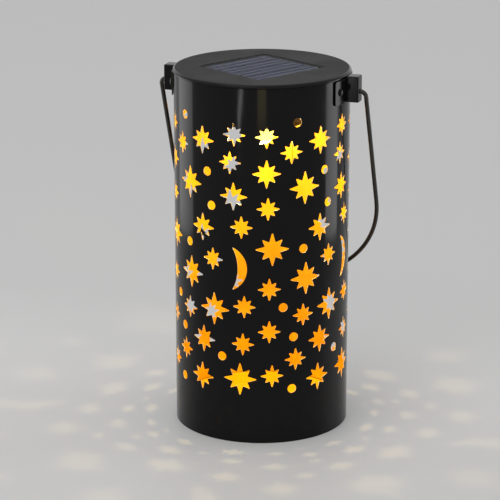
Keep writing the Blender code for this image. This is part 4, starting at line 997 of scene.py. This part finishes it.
def make_bracket(name, node_name, angle):
    """Folded ear: a plate that hugs the tube and a box open below, with the bail's hole in its outer face."""
    half = FOOT_ANGLE * TUBE_RADIUS
    outline = square(half, (FOOT_TOP - BRACKET_LOW) / 2, 1.6 * MM) + (0, (BRACKET_LOW + FOOT_TOP) / 2)
    outline = even_steps(outline, 1.2 * MM)
    holes = [circle(RIVET_HOLE, 24) + (side * RIVET_ANGLE * TUBE_RADIUS, RIVET_HEIGHT) for side in (-1, 1)]
    grid = grid_points(between(-half, half, 32), between(BRACKET_LOW, FOOT_TOP, 10))
    grid = clear_of(grid, outline, holes, 0.6 * MM)
    radius = TUBE_RADIUS + SHEET_GAP + BRACKET_SHEET
    foot = sheet_mesh("foot", outline, holes, grid, BRACKET_SHEET, 0.1 * MM, ring_place(radius))
    inner = BRACKET_HALF - BRACKET_SHEET
    face, top = BRACKET_FACE, BRACKET_TOP
    ear = rounded_block((50 * MM, -BRACKET_HALF, 200 * MM), (face, BRACKET_HALF, top), 1.1 * MM)
    face, top = face - BRACKET_SHEET, top - BRACKET_SHEET
    room = rounded_block((40 * MM, -inner, 190 * MM), (face, inner, top), 0.35 * MM)
    hole = drums(1.9 * MM, 60 * MM, 80 * MM)
    hole = move_points(hole, triples(hole.vertices, "co")[:, [2, 0, 1]] + (0, 0, PIVOT_HEIGHT))
    mesh = softened(combined(
        ear, ("-", room), ("-", plates([square(80 * MM, 20 * MM)], 180 * MM, BRACKET_LOW)),
        ("-", drums(radius - BRACKET_SHEET / 2, 180 * MM, FOOT_TOP, count=256)),
        ("-", drums(LID_RADIUS + SHEET_GAP, FOOT_TOP - 1 * MM, 260 * MM, count=256)),
        ("+", foot), ("-", hole),
    ), 0.1 * MM)
    points = triples(mesh.vertices, "co")
    points[:, :2] = turned_flat(points[:, :2], angle)
    add_piece(name, node_name, move_points(mesh, points), "lantern_body", "bracket_enamel", GLOSS_BLACK)


def make_rivets():
    """Domed rivets through the brackets' plates and the tube, their axes pointing outwards."""
    seat = 1.6 * MM
    tail = -TUBE_WALL - SHEET_GAP
    profile = fillet([
        (0, seat + 1.2 * MM, 0), (1.4 * MM, seat + 1.05 * MM, 1.5 * MM),
        (2.45 * MM, seat + 0.5 * MM, 0.6 * MM), (2.7 * MM, seat, 0.08 * MM), (1.5 * MM, seat, 0),
        (1.5 * MM, tail, 0), (2.2 * MM, tail, 0.1 * MM), (2.1 * MM, tail - 0.7 * MM, 0.3 * MM),
        (1.2 * MM, tail - 0.9 * MM, 0.3 * MM), (0, tail - 0.85 * MM, 0),
    ])
    angles = [side + step for side in (0, pi) for step in (-RIVET_ANGLE, RIVET_ANGLE)]
    for number, angle in enumerate(angles, 1):
        out = np.array([math.cos(angle), math.sin(angle), 0])
        axes = np.array([(-math.sin(angle), math.cos(angle), 0), (0, 0, 1), out])
        middle = out * TUBE_RADIUS + (0, 0, RIVET_HEIGHT)
        mesh = turned_mesh(profile, 28, place=lambda points: middle + points @ axes)
        mesh.set_sharp_from_angle(angle=radians(50))
        add_piece(f"domed_rivet_{number}", f"bracket_rivet_{number}", mesh, "lantern_body", "rivet_steel",
                  GLOSS_BLACK)


def make_bail():
    """Wire handle: two pins in the ears, a quarter bend, straight legs and a half-round end."""
    pin = np.array([[64 * MM, 0], [66 * MM, 0]])
    corner = (BAIL_REACH - BAIL_BEND, BAIL_BEND) + BAIL_BEND * spokes(np.linspace(-pi / 2, 0, 11))
    leg = np.stack([np.full(22, BAIL_REACH), between(BAIL_BEND, BAIL_LEG, 24)], 1)
    end = (0, BAIL_LEG) + BAIL_REACH * spokes(np.linspace(0, pi, 73))
    side = np.concatenate([pin, corner, leg])
    path = np.concatenate([side, end, side[::-1] * (-1, 1)])
    lean = math.sin(BAIL_LEAN), math.cos(BAIL_LEAN)
    path = path @ np.array([(1, 0, 0), (0, lean[0], -lean[1])]) + (0, 0, PIVOT_HEIGHT)
    mesh = carried_wire(path, BAIL_WIRE / 2, 24, np.array([0, lean[1], lean[0]]), 0.6 * MM)
    add_piece("wire_bail", "bail_handle", mesh, "bail", "bail_wire", WIRE_BLACK)


# Pan

def make_pan():
    """Pressed pan in the tube's foot, gold inside, with drain holes."""
    inside = PAN_RADIUS - PAN_SHEET
    profile = fillet([
        (0, PAN_SHEET, 0), (0.3 * inside, PAN_SHEET, 0), (0.9 * inside, PAN_SHEET, 0),
        (inside, PAN_SHEET, PAN_BEND), (inside, PAN_EDGE, 0.3 * MM), (PAN_RADIUS, PAN_EDGE, 0.3 * MM),
        (PAN_RADIUS, 0, PAN_BEND + PAN_SHEET), (0.9 * inside, 0, 0), (0.3 * inside, 0, 0), (0, 0, 0),
    ], steps=5)
    drains = drums(3 * MM, -5 * MM, 5 * MM, circle(42 * MM, 4, pi / 4))
    mesh = softened(combined(turned_mesh(profile, 192), ("-", drains)), 0.15 * MM)
    middle, facing = triples(mesh.polygons, "center"), triples(mesh.polygons, "normal")
    reach = np.linalg.norm(middle[:, :2], axis=1)
    inward = (middle[:, :2] * facing[:, :2]).sum(1) < -0.2 * reach
    # Faces that get the gold paint with its painted pool of lamp light.
    gold = ((facing[:, 2] > 0.3) | (inward & (reach > 50 * MM))) & (reach < PAN_RADIUS - 0.5 * MM)
    second_material(mesh, gold)
    add_piece("foot_pan", "base_plate", mesh, "lantern_body", "base_enamel", GLOSS_BLACK, PAN_GOLD_PAINTED_LIGHT)


# Lid and solar panel

LID_SCREWS = circle(38 * MM, 4, PANEL_TURN)
COVER_SCREWS = circle(30 * MM, 3, pi / 2)


def make_lid():
    """Flat lid with a rounded edge, a skirt inside the tube, a tray for the panel and four screw bosses."""
    profile = fillet([
        (0, LID_TOP, 0), (20 * MM, LID_TOP, 0), (57 * MM, LID_TOP, 0), (LID_RADIUS, LID_TOP, 2 * MM),
        (LID_RADIUS, RIM_BOTTOM, 0.25 * MM), (SKIRT_RADIUS, RIM_BOTTOM, 0.2 * MM),
        (SKIRT_RADIUS, SKIRT_BOTTOM, 0.35 * MM), (SKIRT_INSIDE, SKIRT_BOTTOM, 0.35 * MM),
        (SKIRT_INSIDE, PLATE_BOTTOM, 0.5 * MM), (20 * MM, PLATE_BOTTOM, 0), (0, PLATE_BOTTOM, 0),
    ], steps=7)
    inside = (PLATE_BOTTOM + LID_TOP) / 2
    tray = turned_flat(square(TRAY_HALF, TRAY_HALF, 1.6 * MM), PANEL_TURN)
    pocket = turned_flat(square(POCKET_HALF, POCKET_HALF, 1 * MM), PANEL_TURN)
    mesh = softened(combined(
        turned_mesh(profile, 256), ("+", plates([tray], TRAY_BOTTOM, inside)),
        ("+", drums(3.4 * MM, 243.9 * MM, inside, LID_SCREWS)),
        ("-", plates([pocket], POCKET_BOTTOM, 260 * MM)),
        ("-", drums(SCREW_HOLE, 240 * MM, 248.1 * MM, LID_SCREWS, 24)),
        ("-", drums(3 * MM, 240 * MM, 251 * MM, ((0, -12 * MM),))),
    ), 0.16 * MM)
    reach = np.linalg.norm(triples(mesh.polygons, "center")[:, :2], axis=1)
    rim = (reach > RIM_START) & (triples(mesh.polygons, "normal")[:, 2] < 0.98)
    second_material(mesh, rim)
    add_piece("round_lid", "lid_shell", mesh, "lid", "lid_enamel", SATIN_BLACK, GLOSS_BLACK)


def panel_plate(name, node_name, half_x, half_y, corner, thickness, edge, top, shift, material, slot):
    """A thin plate of the panel with rounded edges, turned with the panel."""
    outline = even_steps(square(half_x, half_y, corner), 2 * MM)
    grid = grid_points(between(-half_x, half_x, 9), between(-half_y, half_y, 19))
    outline, grid = (turned_flat(points + (shift, 0.0), PANEL_TURN) for points in (outline, grid))
    mesh = sheet_mesh(name, outline, [], grid, thickness, edge, flat_place(top))
    add_piece(name, node_name, mesh, "lid", slot, material)


def make_panel():
    """Clear window, four cells and the sheet that they are laid on."""
    panel_plate("clear_window", "solar_window", PANEL_HALF, PANEL_HALF, 0.8 * MM, 1 * MM, 0.18 * MM, LID_TOP,
                0.0, WINDOW, "panel_window")
    for number in range(4):
        shift = -CELLS_HALF + CELL_WIDTH / 2 + number * CELL_PITCH
        panel_plate(f"silicon_strip_{number + 1}", f"solar_cell_{number + 1}", CELL_WIDTH / 2, CELLS_HALF,
                    0.6 * MM, 0.3 * MM, 0.05 * MM, 248.7 * MM, shift, SILICON, "solar_silicon")
    panel_plate("panel_backing", "panel_board", PANEL_HALF, PANEL_HALF, 0.8 * MM, 1.2 * MM, 0.15 * MM,
                248.1 * MM, 0.0, PANEL_BACK, "panel_backing")


# Light housing under the lid

def make_ring(name, node_name, corners, count, slot, material):
    """A ring with rounded edges from the corners of its section, each with its rounding."""
    mesh = softened(turned_mesh(fillet(corners, closed=True), count, closed=True), 0.02 * MM)
    add_piece(name, node_name, mesh, "lid", slot, material)


def make_housing():
    """Plastic cup with a flange, posts for the cover's screws, and their holes."""
    profile = fillet([
        (FLANGE_RADIUS, FLANGE_TOP, 0.3 * MM), (FLANGE_RADIUS, FLANGE_BOTTOM, 0.3 * MM),
        (HOUSING_RADIUS, FLANGE_BOTTOM, 0.5 * MM), (HOUSING_RADIUS, HOUSING_BOTTOM, 0.3 * MM),
        (HOUSING_INSIDE, HOUSING_BOTTOM, 0.2 * MM), (HOUSING_INSIDE, FLANGE_BOTTOM, 0.3 * MM),
        (THROAT, FLANGE_BOTTOM, 0.2 * MM), (THROAT, FLANGE_TOP, 0.2 * MM),
    ], closed=True)
    mesh = softened(combined(
        turned_mesh(profile, 160, closed=True),
        ("+", drums(3.1 * MM, HOUSING_BOTTOM, 228.3 * MM, COVER_SCREWS)),
        ("-", drums(SCREW_HOLE, 210 * MM, 220.8 * MM, COVER_SCREWS, 24)),
        ("-", drums(SCREW_HOLE, 236 * MM, 250 * MM, LID_SCREWS, 24)),
    ), 0.14 * MM)
    add_piece("lamp_housing", "light_housing", mesh, "lid", "housing_plastic", BLACK_PLASTIC)


def make_cover():
    """Round plate under the housing: collar, posts and pegs for the board, slider's slot and screw holes."""
    profile = fillet([
        (0, COVER_TOP, 0), (26 * MM, COVER_TOP, 0), (HOUSING_RADIUS, COVER_TOP, 0.25 * MM),
        (HOUSING_RADIUS, COVER_BOTTOM, 0.9 * MM), (26 * MM, COVER_BOTTOM, 0), (0, COVER_BOTTOM, 0),
    ])
    posts = circle(21.5 * MM, 3, radians(30))
    collar = [(radius, height) for radius, height in (
        (COLLAR_INSIDE, COVER_MIDDLE), (COLLAR_RADIUS, COVER_MIDDLE), (COLLAR_RADIUS, COLLAR_BOTTOM),
        (COLLAR_INSIDE, COLLAR_BOTTOM),
    )]
    slot = square(3.1 * MM, 1.4 * MM, 0.5 * MM, 4) + (SLIDER_X, SLIDER_Y)
    mesh = softened(combined(
        through_bmesh(turned_mesh(profile, 160), merge_middle), ("+", turned_mesh(collar, 96, closed=True)),
        ("+", drums(2.4 * MM, COVER_MIDDLE, BOARD_BOTTOM, posts)),
        ("+", drums(1 * MM, COVER_MIDDLE, 222.3 * MM, posts, 20)),
        ("-", drums(4.8 * MM, CUT_LOW, CUT_HIGH, count=48)), ("-", plates([slot], CUT_LOW, CUT_HIGH)),
        ("-", drums(SCREW_HOLE, CUT_LOW, CUT_HIGH, COVER_SCREWS, 24)),
    ), 0.14 * MM)
    add_piece("housing_lid", "housing_cover", mesh, "lid", "housing_plastic", BLACK_PLASTIC)


def screw_mesh(tip, seat):
    """Pan-head screw that points up: rings for its thread, a crowned head and a cross recess."""
    profile = [(0, tip, 0), (0.35 * MM, tip, 0), (SCREW_CORE, tip - 0.8 * MM, 0)]
    for number in range(int((tip - seat - 1.2 * MM) / SCREW_PITCH)):
        high = tip - 1 * MM - number * SCREW_PITCH
        profile += [(SCREW_SHANK, high - 0.12 * MM, 0), (SCREW_SHANK, high - 0.2 * MM, 0),
                    (SCREW_CORE, high - 0.4 * MM, 0)]
    profile += [
        (SCREW_CORE, seat, 0), (SCREW_HEAD, seat, 0.1 * MM), (SCREW_HEAD, seat - 1.15 * MM, 0.45 * MM),
        (1.5 * MM, seat - HEAD_HIGH, 0.6 * MM), (0, seat - HEAD_HIGH, 0),
    ]
    cross = np.array([1.35 * MM, 0.3 * MM])
    cuts = [("-", plates([square(*size)], seat - 3 * MM, seat - 0.75 * MM)) for size in (cross, cross[::-1])]
    return softened(combined(turned_mesh(fillet(profile), 32), *cuts), 0.05 * MM)


def make_screws(name, node_name, tip, seat, places):
    """Equal screws at their places."""
    first = screw_mesh(tip, seat)
    for number, (x, y) in enumerate(places.tolist(), 1):
        mesh = first.copy()
        mesh.transform(Matrix.Translation((x, y, 0)))
        add_piece(f"{name}_{number}", f"{node_name}_{number}", mesh, "lid", "screw_steel", SCREW_STEEL)
    bpy.data.meshes.remove(first)


def make_lamp():
    """White spacer, warm lamp with its two pins, and the frosted cap."""
    make_ring("white_spacer", "lamp_spacer", [
        (SPACER_RADIUS, BOARD_BOTTOM, 0.25 * MM), (SPACER_RADIUS, SPACER_BOTTOM, 0.4 * MM),
        (SPACER_INSIDE, SPACER_BOTTOM, 0.25 * MM), (SPACER_INSIDE, BOARD_BOTTOM, 0.25 * MM),
    ], 48, "white_plastic", WHITE_PLASTIC)
    collar = LED_TOP - 1 * MM
    profile = fillet([
        (0, LED_TOP, 0), (LED_COLLAR, LED_TOP, 0.15 * MM), (LED_COLLAR, collar, 0.15 * MM),
        (LED_RADIUS, collar, 0.05 * MM), *bowl(LED_RADIUS, LED_TOP - LED_LENGTH + LED_RADIUS, 13),
    ])
    pins = [square(0.25 * MM, 0.25 * MM) + (side * 1.27 * MM, 0) for side in (-1, 1)]
    mesh = softened(combined(turned_mesh(profile, 48), ("+", plates(pins, collar, PIN_TOP))), 0.03 * MM)
    metal = triples(mesh.polygons, "center")[:, 2] > LED_TOP + 0.05 * MM
    second_material(mesh, metal)
    add_piece("warm_led", "led_lamp", mesh, "lid", "lamp_resin", LAMP_RESIN, CONTACT_STEEL)
    inner, under = CAP_RADIUS - CAP_WALL, CAP_TOP - CAP_WALL
    make_ring("frosted_cap", "lamp_diffuser", [
        (inner, CAP_TOP, 0.3 * MM), (CAP_FLANGE, CAP_TOP, 0.3 * MM), (CAP_FLANGE, under, 0.3 * MM),
        (CAP_RADIUS, under, 0.6 * MM), *bowl(CAP_RADIUS, CAP_CENTRE, 17), *bowl(inner, CAP_CENTRE, 17)[::-1],
    ], 72, "frosted_cap", FROSTED_CAP)


def make_slider():
    """White slider with three grip grooves across its end."""
    x, y = SLIDER_X - 1.5 * MM, SLIDER_Y
    half_x, half_y, low, high = 1.2 * MM, 1 * MM, 212.6 * MM, 219.1 * MM
    block = rounded_block((x - half_x, y - half_y, low), (x + half_x, y + half_y, high), 0.25 * MM)
    grooves = [square(0.12 * MM, 3 * MM) + (x + step * 0.6 * MM, y) for step in (-1, 0, 1)]
    mesh = softened(combined(block, ("-", plates(grooves, low - 1 * MM, low + 0.3 * MM))), 0.03 * MM)
    add_piece("grooved_slider", "switch_slider", mesh, "switch", "white_plastic", WHITE_PLASTIC)


make_tube()
make_bracket("folded_ear_right", "handle_bracket_right", 0.0)
make_bracket("folded_ear_left", "handle_bracket_left", pi)
make_rivets()
make_bail()
make_pan()
make_lid()
make_panel()
make_ring("rubber_seal", "lid_seal_ring", [
    (SEAL_RADIUS, SEAL_TOP, 0.3 * MM), (SEAL_RADIUS, SEAL_BOTTOM, 0.3 * MM),
    (SEAL_INSIDE, SEAL_BOTTOM, 0.3 * MM), (SEAL_INSIDE, SEAL_TOP, 0.3 * MM),
], 128, "seal_rubber", SEAL_RUBBER)
make_housing()
make_cover()
make_screws("flange_screw", "housing_screw", 247.8 * MM, 241.9 * MM, LID_SCREWS)
make_screws("small_screw", "cover_screw", 220.5 * MM, 213.9 * MM, COVER_SCREWS)
make_lamp()
make_slider()

# Hidden pieces of the frame that keep their shape
for node_name, material in (
    ("circuit_board", BOARD), ("driver_chip", CHIP_BLACK), ("driver_choke", CHIP_BLACK),
    ("battery_cradle", BLACK_PLASTIC), ("battery_cell", CELL_SLEEVE), ("battery_plate", CONTACT_STEEL),
    ("battery_spring", CONTACT_STEEL), ("switch_body", CONTACT_STEEL), ("panel_lead_red", LEAD_RED),
    ("panel_lead_black", LEAD_BLACK),
):
    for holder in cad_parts[node_name].material_slots:
        holder.material = material


# Stage, light and camera

def make_stage():
    """Pale level floor, far wider than the view."""
    mesh = bpy.data.meshes.new("floor")
    corners = square(FLOOR_HALF, FLOOR_HALF)[[2, 3, 0, 1]]
    mesh.from_pydata(np.column_stack([corners, np.zeros(4)]).tolist(), [], [(0, 1, 2, 3)])
    material = bpy.data.materials.new("pale_floor")
    material.use_nodes = True
    feed(material.node_tree.nodes["Principled BSDF"], {"Roughness": 0.55, "Base Color": (0.78, 0.78, 0.78)})
    mesh.materials.append(material)
    place_object("floor", mesh)


def make_world():
    """Even pale surroundings: the camera and gloss see them pale, and they light the object more gently."""
    world = bpy.data.worlds.new("studio")
    bpy.context.scene.world = world
    world.use_nodes = True
    path = node(world.node_tree, "LightPath")
    seen = maths("MAXIMUM", path["Is Camera Ray"], path["Is Glossy Ray"])
    seen = maths("MAXIMUM", seen, path["Is Transmission Ray"])
    strength = node(world.node_tree, "MapRange", {"Value": seen, "To Min": 0.55, "To Max": 0.85})[0]
    feed(world.node_tree.nodes["Background"], {"Color": (1, 1, 1), "Strength": strength})


def add_light(name, azimuth, distance, height, size, radiance, colour=(1, 1, 1), lean=0.0, aim=None,
              spread=NARROW):
    """A softbox at an angle from the camera's side that faces the lantern, level unless it has an aim.

    Its power is pi x area x radiance.
    """
    light = bpy.data.lights.new(name, "AREA")
    light.shape = "RECTANGLE"
    light.size, light.size_y = size
    light.energy = pi * size[0] * size[1] * radiance
    light.color = colour
    light.spread = spread
    holder = place_object(name, light)
    angle = CAMERA_AZIMUTH + radians(azimuth) - pi / 2
    holder.location = place = Vector((distance * math.cos(angle), distance * math.sin(angle), height))
    facing = (Vector((0, 0, height if aim is None else aim)) - place).to_track_quat("-Z", "Y")
    holder.rotation_euler = (facing @ Quaternion((0, 0, 1), -lean)).to_euler()
    holder.visible_camera = False


def add_lamp_glow():
    """The lamp's own light, just below its cap."""
    light = bpy.data.lights.new("lamp_glow", "POINT")
    light.energy = 0.3
    light.color = (1.0, 0.74, 0.3)
    light.shadow_soft_size = 3 * MM
    holder = place_object("lamp_glow", light)
    holder.location = (0, 0, 0.19)
    holder.visible_camera = False


def make_camera():
    """The photograph's view: the camera's line passes a little beside and below the lantern's middle."""
    data = bpy.data.cameras.new("camera")
    data.lens = CAMERA_LENS
    data.sensor_width = 36
    camera = place_object("camera", data)
    az, el = CAMERA_AZIMUTH, CAMERA_ELEVATION
    back = Vector((math.sin(az) * math.cos(el), -math.cos(az) * math.cos(el), math.sin(el)))
    right = Vector((math.cos(az), math.sin(az), 0))
    middle = Vector((0, 0, HEIGHT / 2))
    camera.location = middle + back * CAMERA_DISTANCE
    aim = middle + right * AIM_SIDE + right.cross(-back) * AIM_UP
    camera.rotation_euler = (aim - camera.location).to_track_quat("-Z", "Y").to_euler()
    bpy.context.scene.camera = camera


make_stage()
make_world()
add_light("left_softbox", -114, 0.45, 0.13, (0.28, 0.22), 0.45)
add_light("right_softbox", 99, 0.45, 0.13, (0.19, 0.22), 0.78)
add_light("streak_softbox", -26, 0.45, 0.15, (0.026, 0.065), 1.5, lean=radians(45))
add_light("warm_streak", 0, 0.5, 0.178, (0.09, 0.124), 0.4, (1.0, 0.85, 0.35))
add_light("top_softbox", -40, 0.9, 1.6, (1.2, 1.2), 1.0, aim=0.12, spread=pi)
add_lamp_glow()
make_camera()
bpy.context.scene.view_settings.view_transform = "Standard"
